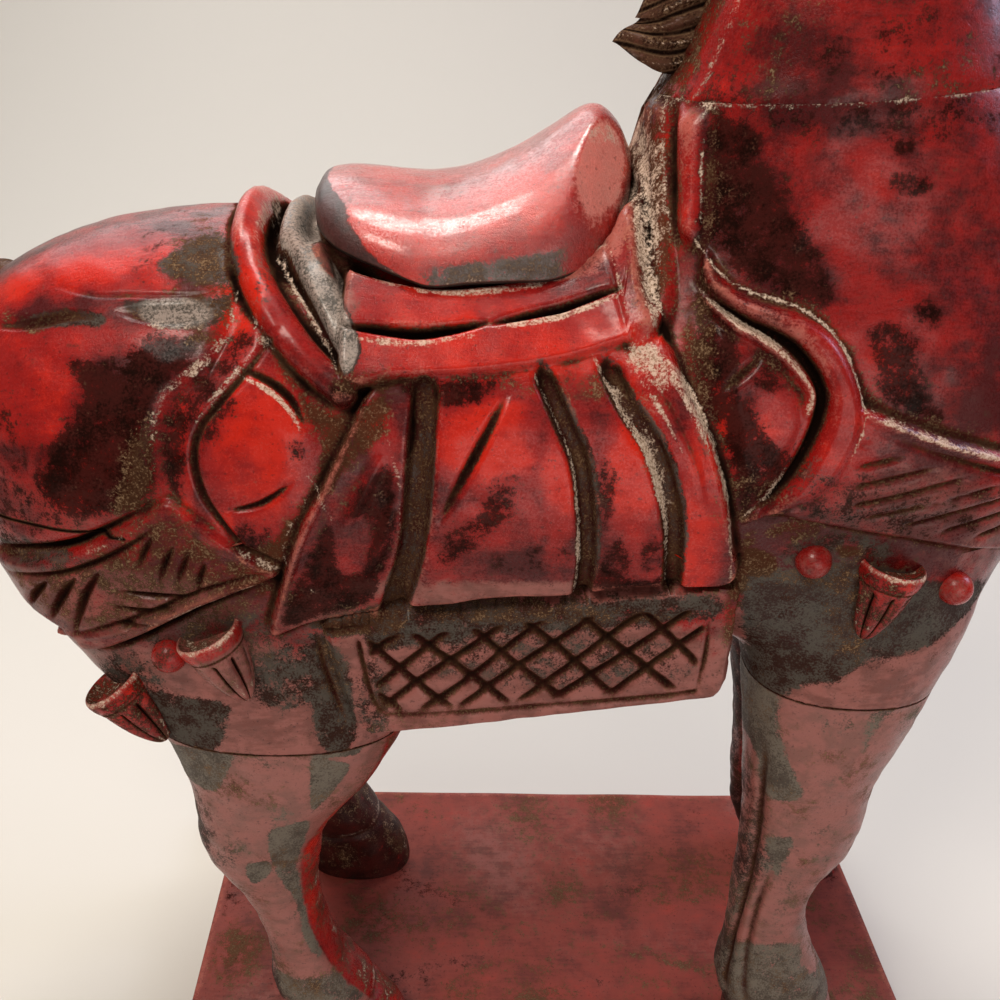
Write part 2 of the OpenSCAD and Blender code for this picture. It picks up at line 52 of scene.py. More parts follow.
Path = tuple[tuple[float, float], ...]
Array = np.ndarray
Layers = dict[str, Array]
Socket = bpy.types.NodeSocket
Value = Socket | float


class Side(Enum):
    """Side of the horse; the value is the sign of Y."""

    RIGHT = -1
    LEFT = 1


class Half(Enum):
    """Half of the trunk, above or below its level glue line; the value is the sign of Z."""

    UPPER = 1
    LOWER = -1


def linear(colour: str) -> tuple[float, float, float, float]:
    """Turns an sRGB hex colour into linear RGBA.

    Args:
        colour: Six hex digits with a leading hash.

    Returns:
        Linear red, green, blue and an alpha of one.
    """
    parts = [int(colour[k:k + 2], 16) / 255 for k in (1, 3, 5)]
    return tuple(c / 12.92 if c <= 0.04045 else ((c + 0.055) / 1.055) ** 2.4 for c in parts) + (1.0,)


def curve(rows: Rows, at: Array, column: int) -> Array:
    """Smooth curve through a column of stations: cubic pieces with central slopes.

    Args:
        rows: Stations, the first value of each is the place.
        at: Places to read.
        column: Column to read.

    Returns:
        Values of the curve at those places.
    """
    table = np.asarray(rows, float)
    x, y = table[:, 0], table[:, column]
    t = np.clip(np.asarray(at, float), x[0], x[-1])
    i = np.clip(np.searchsorted(x, t, side="right") - 1, 0, len(x) - 2)
    before, after = np.maximum(np.arange(len(x)) - 1, 0), np.minimum(np.arange(len(x)) + 1, len(x) - 1)
    slope = (y[after] - y[before]) / (x[after] - x[before])
    h = x[i + 1] - x[i]
    s = (t - x[i]) / h
    return ((2 * s**3 - 3 * s**2 + 1) * y[i] + (s**3 - 2 * s**2 + s) * h * slope[i]
            + (3 * s**2 - 2 * s**3) * y[i + 1] + (s**3 - s**2) * h * slope[i + 1])


def step(low: float, high: float, v: Array) -> Array:
    """Smooth step from 0 at low to 1 at high."""
    t = np.clip((v - low) / (high - low), 0, 1)
    return t * t * (3 - 2 * t)


def blend_min(a: Array, b: Array, k: float) -> Array:
    """Smallest of two distances with a fillet of size k where they meet."""
    h = np.clip(0.5 + 0.5 * (b - a) / k, 0, 1)
    return b + (a - b) * h - k * h * (1 - h)


def blend_max(a: Array, b: Array, k: float) -> Array:
    """Largest of two distances with a rounding of size k where they meet."""
    return -blend_min(-a, -b, k)


def oval(angle: Array, power: float) -> tuple[Array, Array]:
    """Unit superellipse: signed powers of the cosine and sine of an angle."""
    c, s = np.cos(angle), np.sin(angle)
    return np.sign(c) * np.abs(c) ** (2 / power), np.sign(s) * np.abs(s) ** (2 / power)


def radius(a: Array, b: Array, power: float) -> Array:
    """Radius of places in a unit superellipse: less than 1 inside it and 1 on its rim."""
    return (np.abs(a) ** power + np.abs(b) ** power) ** (1 / power)


def circle(turns: int) -> Array:
    """Even angles once round, as a row."""
    return np.linspace(0, 2 * math.pi, turns, endpoint=False)[None, :]


def ripple(p: Array, scale: float, seed: int) -> Array:
    """Soft random field: a sum of sine waves in seeded directions.

    Args:
        p: Points, last axis of length three.
        scale: Typical wave length in millimetres.
        seed: Seed of the directions.

    Returns:
        Values of about -1 to 1.
    """
    rng = np.random.default_rng(seed)
    total = np.zeros(p.shape[:-1])
    for _ in range(9):
        way = rng.normal(size=3)
        way *= rng.uniform(0.7, 1.7) / np.linalg.norm(way)
        total += np.sin(p @ way * (2 * math.pi / scale) + rng.uniform(0, 6.28))
    return total / 3.2


def rounded(points: Path, closed: bool, count: int = 5) -> Array:
    """Curve through points: Catmull-Rom pieces, each cut into short straight runs.

    Args:
        points: Points of the curve.
        closed: Whether it runs back to its first point.
        count: Straight runs in each piece.

    Returns:
        Points of the cut curve.
    """
    p = np.asarray(points, float)
    before, after = (p[-1:], p[:2]) if closed else (2 * p[:1] - p[1:2], 2 * p[-1:] - p[-2:-1])
    q = np.vstack([before, p, after])
    t = np.linspace(0, 1, count, endpoint=False)[:, None]
    out = [0.5 * (2 * b + (c - a) * t + (2 * a - 5 * b + 4 * c - d) * t**2 + (3 * b - a - 3 * c + d) * t**3)
           for a, b, c, d in zip(q[:-3], q[1:-2], q[2:-1], q[3:])]
    return np.vstack(out if closed else out + [p[-1:]])


def along(path: Array, x: Array, z: Array) -> tuple[Array, Array]:
    """Distance to an open path, positive on its right-hand side, and the share of its length there.

    Args:
        path: Points of the path.
        x: Places along X.
        z: Places along Z.

    Returns:
        Distances and shares of the length.
    """
    best, where, right = np.full(x.shape, 1e9), np.zeros(x.shape), np.ones(x.shape)
    run = np.concatenate([[0], np.cumsum(np.linalg.norm(np.diff(path, axis=0), axis=1))])
    for k, (a, b) in enumerate(zip(path[:-1], path[1:])):
        d = b - a
        t = np.clip(((x - a[0]) * d[0] + (z - a[1]) * d[1]) / max(d @ d, 1e-9), 0, 1)
        dist = np.hypot(x - a[0] - t * d[0], z - a[1] - t * d[1])
        near = dist < best
        best = np.where(near, dist, best)
        where = np.where(near, run[k] + t * (run[k + 1] - run[k]), where)
        right = np.where(near, np.sign(d[1] * (x - a[0]) - d[0] * (z - a[1])), right)
    return best * right, where / run[-1]


def inside(loop: Array, x: Array, z: Array) -> Array:
    """Signed distance to a closed outline, positive inside it.

    Args:
        loop: Points of the outline.
        x: Places along X.
        z: Places along Z.

    Returns:
        The distances.
    """
    dist = np.abs(along(np.vstack([loop, loop[:1]]), x, z)[0])
    odd = np.zeros(x.shape, bool)
    for a, b in zip(loop, np.roll(loop, -1, axis=0)):
        hit = (a[1] > z) != (b[1] > z)
        cross = a[0] + (z - a[1]) * (b[0] - a[0]) / (b[1] - a[1] if b[1] != a[1] else 1e-9)
        odd ^= hit & (x < cross)
    return np.where(odd, dist, -dist)


def soften(v: Array, cells: int) -> Array:
    """Blurs a grid by repeated three-cell averages along both of its axes.

    Args:
        v: Values of the grid.
        cells: How many times it is averaged.

    Returns:
        The blurred grid.
    """
    for _ in range(cells):
        for axis in (0, 1):
            edge = np.take(v, [0], axis), np.take(v, [-1], axis)
            w = np.concatenate([edge[0], v, edge[1]], axis)
            n = v.shape[axis]
            v = (np.take(w, range(n), axis) + 2 * v + np.take(w, range(2, n + 2), axis)) / 4
    return v


def grid_faces(rows: int, columns: int, wrap: bool = False) -> Array:
    """Quads of a grid of points stored row by row; wrap joins the last column to the first.

    Args:
        rows: Number of rows.
        columns: Number of columns.
        wrap: Whether the grid closes on itself.

    Returns:
        Corner numbers of the quads.
    """
    i, j = np.meshgrid(np.arange(rows - 1), np.arange(columns if wrap else columns - 1), indexing="ij")
    k = (j + 1) % columns
    here, ahead = i * columns, (i + 1) * columns
    return np.stack([here + j, ahead + j, ahead + k, here + k], -1).reshape(-1, 4)


def end_rings(rows: int, columns: int, start: int = 0) -> tuple[Array, Array]:
    """Rings that close the first and last row of a wrapped grid, whose points are numbered from start."""
    ring = np.arange(columns) + start
    return ring, ring[::-1] + (rows - 1) * columns


def make_piece(name: str, points: Array, quads: Array, fans: tuple[Array, ...] = (),
               layers: Layers | None = None, crease: float = 40,
               strip: Array | None = None) -> bpy.types.Object:
    """Makes an object from points, quads and flat closing rings, turned so that its faces look outwards.

    Args:
        name: Name of the object.
        points: Points in millimetres.
        quads: Corner numbers of the quads.
        fans: Rings of corner numbers, each closed by triangles to its middle.
        layers: Per-point colour layers of three values.
        crease: Angle above which an edge stays sharp, in degrees.
        strip: Corner numbers of further triangles.

    Returns:
        The new object, linked to the scene.
    """
    p = np.asarray(points, float).reshape(-1, 3)
    tris, extra = ([] if strip is None else [strip]), []
    for ring in fans:
        extra.append(p[ring].mean(0))
        middle = np.full(len(ring), len(p) + len(extra) - 1)
        tris.append(np.stack([ring, np.roll(ring, -1), middle], 1))
    if extra:
        p = np.vstack([p, extra])
    tri = np.vstack(tris) if tris else np.zeros((0, 3), int)
    split = np.vstack([quads[:, :3], quads[:, [0, 2, 3]], tri])
    if np.einsum("ij,ij->", p[split[:, 0]], np.cross(p[split[:, 1]], p[split[:, 2]])) < 0:
        quads, tri = quads[:, ::-1], tri[:, ::-1]
    mesh = bpy.data.meshes.new(name)
    mesh.vertices.add(len(p))
    mesh.vertices.foreach_set("co", (p * MM).astype(np.float32).ravel())
    corners = np.concatenate([quads.ravel(), tri.ravel()])
    starts = np.concatenate([np.arange(len(quads)) * 4, 4 * len(quads) + np.arange(len(tri)) * 3])
    mesh.loops.add(len(corners))
    mesh.loops.foreach_set("vertex_index", corners.astype(np.int32))
    mesh.polygons.add(len(starts))
    mesh.polygons.foreach_set("loop_start", starts.astype(np.int32))
    mesh.update(calc_edges=True)
    mesh.validate()
    mesh.polygons.foreach_set("use_smooth", np.ones(len(mesh.polygons), bool))
    mesh.set_sharp_from_angle(angle=math.radians(crease))
    for key, value in (layers or {}).items():
        rgba = np.ones((len(p), 4), np.float32)
        flat = np.asarray(value, float).reshape(-1, 3)
        rgba[:len(flat), :3] = flat
        rgba[len(flat):, :3] = flat.mean(0)
        mesh.color_attributes.new(key, "FLOAT_COLOR", "POINT").data.foreach_set("color", rgba.ravel())
    return link(mesh, name)


def make_tube(name: str, p: Array, layers: Layers, crease: float) -> bpy.types.Object:
    """Makes an object from rings of points, closed at both ends."""
    rows, columns = p.shape[:2]
    return make_piece(name, p, grid_faces(rows, columns, True), end_rings(rows, columns), layers, crease)


def link(item: bpy.types.ID, name: str, turn: Array | None = None, place: tuple = ()) -> bpy.types.Object:
    """Puts a mesh, light or camera in the scene.

    Args:
        item: Data of the object.
        name: Name of the object.
        turn: Directions of its axes as columns; none leaves it at the origin.
        place: Its place in millimetres.

    Returns:
        The object.
    """
    thing = bpy.data.objects.new(name, item)
    if turn is not None:
        thing.matrix_world = Matrix([list(turn[k]) + [place[k] * MM] for k in range(3)] + [[0, 0, 0, 1]])
    bpy.context.scene.collection.objects.link(thing)
    return thing


class Shader:
    """Small helper that adds nodes to a material and links them."""

    def __init__(self, name: str) -> None:
        """Starts an empty material.

        Args:
            name: Name of the real material.
        """
        self.material = bpy.data.materials.new(name)
        self.material.use_nodes = True
        self.tree = self.material.node_tree
        self.tree.nodes.clear()

    def add(self, kind: str, settings: dict | None = None, **inputs: object) -> bpy.types.Node:
        """Adds a node, sets its properties and sets or links its inputs.

        Args:
            kind: Node type without the ShaderNode prefix.
            settings: Properties of the node.
            inputs: Input values or sockets, keyed by name or by place as i0, i1.

        Returns:
            The node.
        """
        node = self.tree.nodes.new("ShaderNode" + kind)
        for key, value in (settings or {}).items():
            setattr(node, key, value)
        for key, value in inputs.items():
            place = int(key[1:]) if key[1:].isdigit() else key.replace("_", " ")
            socket = node.inputs[place]
            if isinstance(value, Socket):
                self.tree.links.new(value, socket)
            else:
                socket.default_value = value
        return node

    def maths(self, how: str, a: Value, b: Value) -> Socket:
        """Adds a calculation on two values and returns its result."""
        return self.add("Math", {"operation": how}, i0=a, i1=b).outputs[0]

    def times(self, a: Value, b: Value) -> Socket:
        """Adds a product."""
        return self.maths("MULTIPLY", a, b)

    def most(self, a: Value, b: Value) -> Socket:
        """Adds the larger of two values."""
        return self.maths("MAXIMUM", a, b)

    def sum(self, *terms: Value | tuple[Value, float]) -> Socket:
        """Adds up sockets, each alone or as a pair with its weight.

        Args:
            terms: Sockets, or pairs of a socket and a weight.

        Returns:
            The total.
        """
        scaled = [self.times(*t) if isinstance(t, tuple) else t for t in terms]
        total = scaled[0]
        for term in scaled[1:]:
            total = self.maths("ADD", total, term)
        return total

    def around(self, value: Value, weight: float) -> Socket:
        """A noise value turned to swing about zero, times a weight."""
        return self.times(self.maths("SUBTRACT", value, 0.5), weight)

    def layer(self, name: str) -> tuple[Socket, ...]:
        """The three values of a mesh colour layer."""
        colour = self.add("Attribute", {"attribute_name": name}).outputs["Color"]
        return tuple(self.add("SeparateColor", None, Color=colour).outputs)

    def mask(self, value: Value, low: float, high: float) -> Socket:
        """Adds a smooth step from low to high."""
        how = {"interpolation_type": "SMOOTHSTEP"}
        return self.add("MapRange", how, Value=value, From_Min=low, From_Max=high).outputs[0]

    def mix(self, factor: Value, a: Socket | str, b: Socket | str) -> Socket:
        """Adds a mix of two colours, each a socket or a hex colour, and returns its result."""
        a, b = (linear(v) if isinstance(v, str) else v for v in (a, b))
        return self.add("Mix", {"data_type": "RGBA"}, i0=factor, i6=a, i7=b).outputs[2]

    def noise(self, scale_mm: float, detail: float = 4, rough: float = 0.6, stretch: tuple = (1, 1, 1),
              shift: float = 0.0) -> Socket:
        """Adds noise in object space; the scale is a wave length in millimetres.

        Args:
            scale_mm: Wave length.
            detail: Number of finer waves.
            rough: Share of the finer waves.
            stretch: Scale along each axis.
            shift: Offset that sets two noises apart.

        Returns:
            The noise, 0 to 1.
        """
        where = self.add("TexCoord").outputs["Object"]
        offset = (shift, shift * 0.7, -shift)
        moved = self.add("Mapping", None, Vector=where, Scale=stretch, Location=offset).outputs[0]
        return self.add("TexNoise", None, Vector=moved, Scale=1 / (scale_mm * MM), Detail=detail,
                        Roughness=rough).outputs["Fac"]

    def surface(self, **inputs: object) -> bpy.types.Material:
        """Adds the surface with its inputs and returns the material.

        Args:
            inputs: Inputs of the surface, keyed by name.

        Returns:
            The material.
        """
        shader = self.add("BsdfPrincipled", None, **inputs)
        self.add("OutputMaterial", None, Surface=shader.outputs[0])
        return self.material


@dataclass(frozen=True)
class WornLacquer:
    """Red lacquer over carved wood: edges worn and partly painted as highlights, hollows dirty and partly
    painted as shade.
    """

    name: str = "red lacquer over wood, worn"
    bright: str = "#B81F0E"
    red: str = "#8A1512"
    deep: str = "#460D0E"
    dark: str = "#331512"
    black: str = "#130A07"
    dirt: str = "#432B1D"
    ochre: str = "#7E664E"
    # edge colour: worn lacquer, partly painted highlights along the ridges
    worn_edge_and_highlight: str = "#B5665A"
    cream: str = "#D0B8A6"
    # rose and the colour below it: faded lacquer, partly a painted reflection of the pale floor
    rose: str = "#8A524B"
    faded_and_floor_sheen: str = "#6E3F38"
    slate: str = "#4A443E"
    shade: str = "#2F1C17"
    silver: str = "#9A8C83"
    gloss: float = 0.29
    coat: float = 0.35
    sheen: float = 0.18
    texture: float = 0.5

    def build(self) -> bpy.types.Material:
        """Makes the material.

        The patina layer gives dark, dirt and rose; the carve layer gives hollow, edge and shine; the wear
        layer gives slate, pale and gloss. Each is broken up by a rough noise and by grain before it is used.
        The rose partly paints the pale floor's reflection on faces that look down.

        Returns:
            The material.
        """
        s = Shader(self.name)
        dark, dirt, rose = s.layer("patina")
        hollow, edge, shine = s.layer("carve")
        slate, pale, gloss = s.layer("wear")
        broad, middle = s.noise(16, 4, 0.55), s.noise(5, 6, 0.62, shift=0.3)
        rag, grain = s.noise(3.0, 9, 0.78, shift=0.6), s.noise(0.42, 4, 0.7)
        streak = s.noise(0.9, 4, 0.65, stretch=(0.13, 1, 0.6))
        ragged = s.sum(s.around(rag, 2.2), s.around(grain, 1.1))
        tone = s.sum((shine, 0.6), s.around(broad, 1.3), s.around(middle, 1.0), s.around(streak, 0.5),
                     s.around(grain, 0.4))
        red = s.mix(s.mask(tone, -0.2, 0.32), self.deep, self.red)
        red = s.mix(s.mask(tone, 0.28, 0.74), red, self.bright)
        # rose of faded lacquer, partly a painted reflection of the pale floor on faces that look down
        rose_and_sheen_colour = s.mix(s.mask(s.sum(middle, s.around(streak, 0.5)), 0.36, 0.6), self.faded_and_floor_sheen, self.rose)
        rose_and_sheen_mask = s.times(s.mask(s.sum(rose, (ragged, 0.6)), 0.25, 0.8), s.mask(rose, 0.02, 0.3))
        base = s.mix(rose_and_sheen_mask, red, rose_and_sheen_colour)
        grey = s.mask(s.sum(slate, ragged), 0.34, 0.7)
        stone = s.mix(s.mask(s.sum(middle, s.around(grain, 1.0)), 0.4, 0.62), self.slate, self.shade)
        base = s.mix(grey, base, stone)
        gloom = s.mask(s.sum(dark, (ragged, 1.2)), 0.3, 0.78)
        soot = s.mix(s.mask(s.sum(middle, s.around(grain, 0.8)), 0.36, 0.62), self.black, self.dark)
        base = s.mix(s.times(gloom, 0.95), base, soot)
        soil = s.times(s.mask(s.sum(dirt, (ragged, 1.3)), 0.28, 0.82), s.mask(dirt, -0.1, 0.3))
        grit = s.mask(s.sum(grain, s.around(rag, 0.8)), 0.52, 0.72)
        base = s.mix(s.times(soil, 0.9), base, s.mix(grit, self.dirt, self.ochre))
        # edges: worn lacquer, partly painted highlights along the ridges
        edge_wear_and_highlight = s.times(s.mask(s.sum(edge, (ragged, 0.7)), 0.15, 0.6), s.mask(edge, 0.02, 0.2))
        base = s.mix(s.times(edge_wear_and_highlight, 0.65), base, self.worn_edge_and_highlight)
        # hollows: dirt and ochre in the grooves, going black in the deepest as painted shade
        pit = s.mask(s.sum(hollow, (ragged, 0.4)), 0.1, 0.42)
        floor = s.mix(s.mask(s.sum(grain, s.around(middle, 0.8)), 0.4, 0.6), self.dark, self.dirt)
        floor = s.mix(s.times(grit, 0.5), floor, self.ochre)
        deepest = s.mask(s.sum(hollow, (ragged, 0.3)), 0.34, 0.75)
        base = s.mix(pit, base, s.mix(deepest, floor, self.black))
        # pale: bare wood and cream dirt, partly painted highlights on lit edges
        bare = s.times(s.mask(s.sum(pale, (ragged, 1.2)), 0.42, 0.95), s.mask(pale, -0.02, 0.3))
        bare = s.times(bare, 0.85)
        base = s.mix(bare, base, s.mix(s.mask(grain, 0.34, 0.58), self.ochre, self.cream))
        specks = s.times(s.mask(s.noise(0.7, 3, 0.6, shift=0.9), 0.6, 0.7), 0.55)
        base = s.mix(specks, base, self.dark)
        metal = s.mix(s.mask(s.sum(grain, s.around(rag, 0.9)), 0.36, 0.62), self.slate, self.silver)
        silver = s.times(s.mask(gloss, 0.72, 0.95), s.maths("SUBTRACT", 0.9, s.times(deepest, 0.6)))
        base = s.mix(silver, base, metal)
        dull = s.most(s.most(s.times(gloom, 0.7), soil), s.most(pit, bare))
        dull = s.most(dull, s.times(grey, s.maths("SUBTRACT", 0.7, s.times(gloss, 0.7))))
        rough = s.sum((dull, 0.28), s.around(grain, 0.5), s.around(rag, 0.4), (gloss, -0.1), (rose, 0.12))
        rough = s.maths("ADD", rough, self.gloss)
        shiny = s.maths("SUBTRACT", self.sheen, s.times(dull, 0.3))
        height = s.sum((grain, 0.45), (streak, 0.45), (rag, 0.6), (bare, -0.3), (gloom, -0.2))
        bump = s.add("Bump", None, Strength=self.texture, Distance=0.28 * MM, Height=height).outputs[0]
        speckle = s.mask(s.sum(grain, s.around(rag, 0.7), s.around(streak, 0.4)), 0.38, 0.6)
        speckle = s.sum((speckle, 0.8), 0.2)
        coat = s.times(s.times(s.maths("SUBTRACT", 1.0, dull), speckle), self.coat)
        return s.surface(Base_Color=base, Roughness=rough, Normal=bump, Coat_Weight=coat, Coat_Roughness=0.17,
                         Specular_IOR_Level=shiny)


def skin(shape: Callable[[Array], Array], low: Array, high: Array, cell: float) -> tuple[Array, Array]:
    """Surface through the zero of a field: one point in each cell of a lattice that the surface crosses.

    Each point is the mean of the crossings on its cell's edges, then moved along the field's slope onto
    the zero. Each lattice edge that the surface crosses gives one quad of its four cells.

    Args:
        shape: Field as a function of points.
        low: Lowest corner of the lattice.
        high: Highest corner of the lattice.
        cell: Size of a cell.

    Returns:
        Points and quads.
    """
    axes = [np.arange(a, b + cell, cell) for a, b in zip(low, high)]
    size = tuple(len(a) for a in axes)
    lattice = np.stack(np.meshgrid(*axes, indexing="ij"), -1)
    v = np.stack([shape(lattice[i]) for i in range(size[0])])
    within = v < 0
    cells = tuple(n - 1 for n in size)
    total, count = np.zeros(cells + (3,)), np.zeros(cells)
    crossing = []
    for axis in range(3):
        a = tuple(slice(0, -1) if k == axis else slice(None) for k in range(3))
        b = tuple(slice(1, None) if k == axis else slice(None) for k in range(3))
        cross = within[a] != within[b]
        t = np.where(cross, v[a] / np.where(cross, v[a] - v[b], 1), 0)
        place = lattice[a].copy()
        place[..., axis] += t * cell
        crossing.append((cross, within[a]))
        others = [k for k in range(3) if k != axis]
        for i in (0, 1):
            for j in (0, 1):
                cut = [slice(None)] * 3
                for k, shift in zip(others, (i, j)):
                    cut[k] = slice(shift, size[k] - 1 + shift)
                total += np.where(cross[tuple(cut)][..., None], place[tuple(cut)], 0)
                count += cross[tuple(cut)]
    used = count > 0
    number = np.full(count.shape, -1)
    number[used] = np.arange(used.sum())
    p = total[used] / count[used][:, None]
    for _ in range(2):
        here = shape(p)
        slope = np.stack([shape(p + 0.05 * np.eye(3)[k]) - here for k in range(3)], -1) / 0.05
        pull = here / np.maximum((slope**2).sum(-1), 0.2)
        p -= np.clip(pull, -0.4 * cell, 0.4 * cell)[:, None] * slope
    quads = []
    for axis, (cross, first) in enumerate(crossing):
        j, k = [n for n in range(3) if n != axis]
        at = np.argwhere(cross)
        at = at[(at[:, j] > 0) & (at[:, k] > 0) & (at[:, j] < size[j] - 1) & (at[:, k] < size[k] - 1)]
        corners = []
        for dj, dk in ((1, 1), (0, 1), (0, 0), (1, 0)):
            c = at.copy()
            c[:, j] -= dj
            c[:, k] -= dk
            corners.append(number[tuple(c.T)])
        q = np.stack(corners, 1)
        flip = first[tuple(at.T)] == (axis == 1)
        quads.append(np.where(flip[:, None], q[:, ::-1], q))
    return p, np.vstack(quads)


@dataclass(frozen=True)
class BodyForm:
    """The smooth body before its harness is carved: trunk, neck, shoulders and thighs as one field."""

    rump_x: float = -122.0
    trunk_l: float = 211.0
    trunk_w: float = 76.0
    trunk_power: float = 2.15
    belly_z: float = 120.0
    back_z: float = 203.0
    split_z: float = 159.0
    board_z: float = 14.0
    seam: tuple[float, float] = (3.0, 226.5)
    seam_tilt: float = 6.5
    neck_l: float = 60.0
    neck_w: float = 54.0
    neck_h: float = 60.0
    neck_root: float = -60.0
    neck_lean: float = 37.0
    neck_fillet: float = 14.0
    track: float = 54.0
    leg_top: float = 161.0
    leg_power: float = 2.3
    fore_x: float = 55.0
    hind_x: float = -49.0
    fore_stride: float = 20.0
    hind_stride: float = -3.0
    fore_seam: float = 111.0
    hind_seam: float = 98.0
    fore_fillet: float = 8.0
    hind_fillet: float = 5.0
    straight: float = 149.73
    flap_y: float = 39.5
    flap_inner: float = 26.0
    flap_front: float = 21.2
    flap_slant: float = 0.222
    flap_round: float = 1.5
    trunk: Rows = ((0, 0.66, 0.5, 0.1), (0.014, 0.76, 0.37, 0.36), (0.047, 0.84, 0.23, 0.62),
                   (0.1, 0.92, 0.1, 0.84), (0.18, 0.98, 0.03, 0.96), (0.28, 1, 0, 1), (0.39, 0.98, 0, 1),
                   (0.53, 0.98, 0.01, 1), (0.65, 1.03, 0.05, 1.01), (0.77, 1.05, 0.1, 1),
                   (0.86, 1, 0.17, 0.91), (0.935, 0.88, 0.29, 0.71), (0.98, 0.76, 0.41, 0.44),
                   (1, 0.67, 0.52, 0.13))
    neck: Rows = ((-1, -0.32, 1.35, 1.33), (-0.67, -0.22, 1.32, 1.3), (-0.33, -0.12, 1.18, 1.15),
                  (0, 0, 1, 1), (0.33, -0.05, 0.68, 0.85), (0.67, -0.08, 0.41, 0.74),
                  (0.9, -0.03, 0.23, 0.58), (1, 0.05, 0.14, 0.2))
    fore: Rows = ((0, -14, 14, -9.5, 9.5), (9, -14.5, 12.4, -9.2, 9.2), (18, -16.2, 9.2, -8.8, 8.2),
                  (27, -17.8, 5.6, -8.6, 7.8), (37, -18.4, 0.8, -7.5, 7.5), (48, -18.4, -1.9, -7.5, 7.5),
                  (57, -18.6, -0.4, -8.2, 7.6), (65, -19.2, 3.4, -9.2, 8.1), (76, -20.3, 4.9, -10.4, 9),
                  (86, -21.7, 5.3, -12, 9.6), (96, -23, 8.2, -14.2, 10.2), (112, -26, 11.8, -17.5, 11),
                  (131, -33, 15.5, -21, 11.2), (161, -35, 13, -23, 6))
    hind: Rows = ((0, -14, 14, -9.5, 9.5), (9, -14.8, 11.5, -9.2, 9.2), (18, -16.3, 5, -8.8, 8.2),
                  (27, -17.8, -1.4, -8.6, 7.8), (38, -18.43, -4.9, -7.5, 7.5),
                  (50, -22.38, -7.2, -7.5, 7.5), (62, -29.3, -6.7, -9, 8.6), (69, -31.2, -5.6, -10.4, 9.4),
                  (77, -31.2, -0.8, -12.2, 10.2), (86, -32.4, 6.2, -14.5, 10.8),
                  (98, -37.5, 12, -17.5, 11.2), (114, -49, 13, -20.5, 11.2), (131, -58.5, 12, -22.5, 10.5),
                  (161, -58, 9, -24.5, 6))
    flap: Path = ((-51.5, 143), (-51, 139), (-49, 131), (-46.5, 120.5), (-43, 118.5), (-14, 123), (19, 129),
                  (21.5, 132), (20, 153))

    def to_seam(self, p: Array) -> tuple[Array, Array]:
        """Place along the neck's glue line and height above it.

        Args:
            p: Points.

        Returns:
            Places along the line and heights above it.
        """
        t = math.radians(self.seam_tilt)
        x, z = p[..., 0] - self.seam[0], p[..., 2] - self.seam[1]
        return x * math.cos(t) + z * math.sin(t), z * math.cos(t) - x * math.sin(t)

    def from_seam(self, x: Array, y: Array, h: Array) -> Array:
        """Points from their place along the neck's glue line, across it and above it.

        Args:
            x: Places along the line.
            y: Places across it.
            h: Heights above it.

        Returns:
            The points.
        """
        t = math.radians(self.seam_tilt)
        return np.stack(np.broadcast_arrays(self.seam[0] + x * math.cos(t) - h * math.sin(t), y,
                                            self.seam[1] + x * math.sin(t) + h * math.cos(t)), -1)

    def neck_ends(self, h: Array) -> tuple[Array, Array, Array]:
        """Crest, throat and half width of the neck at heights above its glue line.

        Args:
            h: Heights above the glue line.

        Returns:
            Crest, throat and half width.
        """
        u = h / self.neck_h
        lean = self.neck_lean * np.maximum(u, 0)
        back, front = (lean + self.neck_l * curve(self.neck, u, k) for k in (1, 2))
        return back, front, self.neck_w / 2 * curve(self.neck, u, 3)

    def leg_box(self, rows: Rows, h: Array, stand: float, stride: Array) -> tuple[Array, ...]:
        """Middle and half sizes of a leg's section at heights above the board, with Y as a distance.

        Args:
            rows: Sections of the leg.
            h: Heights above the board.
            stand: Place of the leg along X.
            stride: How far the hoof is set forward.

        Returns:
            Middle along X and Y, then half sizes along X and Y.
        """
        back, front, inner, outer = (curve(rows, h, k) for k in (1, 2, 3, 4))
        shift = stand + stride * np.maximum(0, 1 - h / self.straight)
        middle = shift + (back + front) / 2, self.track / 2 + (inner + outer) / 2
        return middle + ((front - back) / 2, (outer - inner) / 2)

    def trunk_field(self, p: Array) -> Array:
        """Signed distance, about, to the trunk.

        Args:
            p: Points.

        Returns:
            Distances, negative inside.
        """
        s = (p[..., 0] - self.rump_x) / self.trunk_l
        rise = self.back_z - self.belly_z
        top, low = (self.belly_z + rise * curve(self.trunk, s, k) for k in (1, 2))
        half, tall = self.trunk_w / 2 * curve(self.trunk, s, 3), (top - low) / 2
        r = radius(p[..., 1] / half, (p[..., 2] - (top + low) / 2) / tall, self.trunk_power)
        return (r - 1) * np.minimum(half, tall)

    def neck_field(self, p: Array) -> Array:
        """Signed distance, about, to the neck.

        Args:
            p: Points.

        Returns:
            Distances, negative inside.
        """
        x, h = self.to_seam(p)
        back, front, half = self.neck_ends(h)
        deep = (front - back) / 2
        r = radius((x - (back + front) / 2) / deep, p[..., 1] / half, self.trunk_power)
        past = np.maximum(self.neck_root - h, h - self.neck_h)
        return (r - 1) * np.minimum(half, deep) + np.maximum(0, past)

    def leg_field(self, p: Array, rows: Rows, stand: float, stride: float) -> Array:
        """Signed distance, about, to the leg on the same side as each point.

        Args:
            p: Points.
            rows: Sections of the leg.
            stand: Place of the leg along X.
            stride: How far the left hoof is set forward.

        Returns:
            Distances, negative inside.
        """
        h = p[..., 2] - self.board_z
        x, y, a, b = self.leg_box(rows, h, stand, np.where(p[..., 1] > 0, stride, 0.0))
        r = radius((p[..., 0] - x) / a, (np.abs(p[..., 1]) - y) / b, self.leg_power)
        return (r - 1) * np.minimum(a, b) + np.maximum(0, h - self.leg_top)

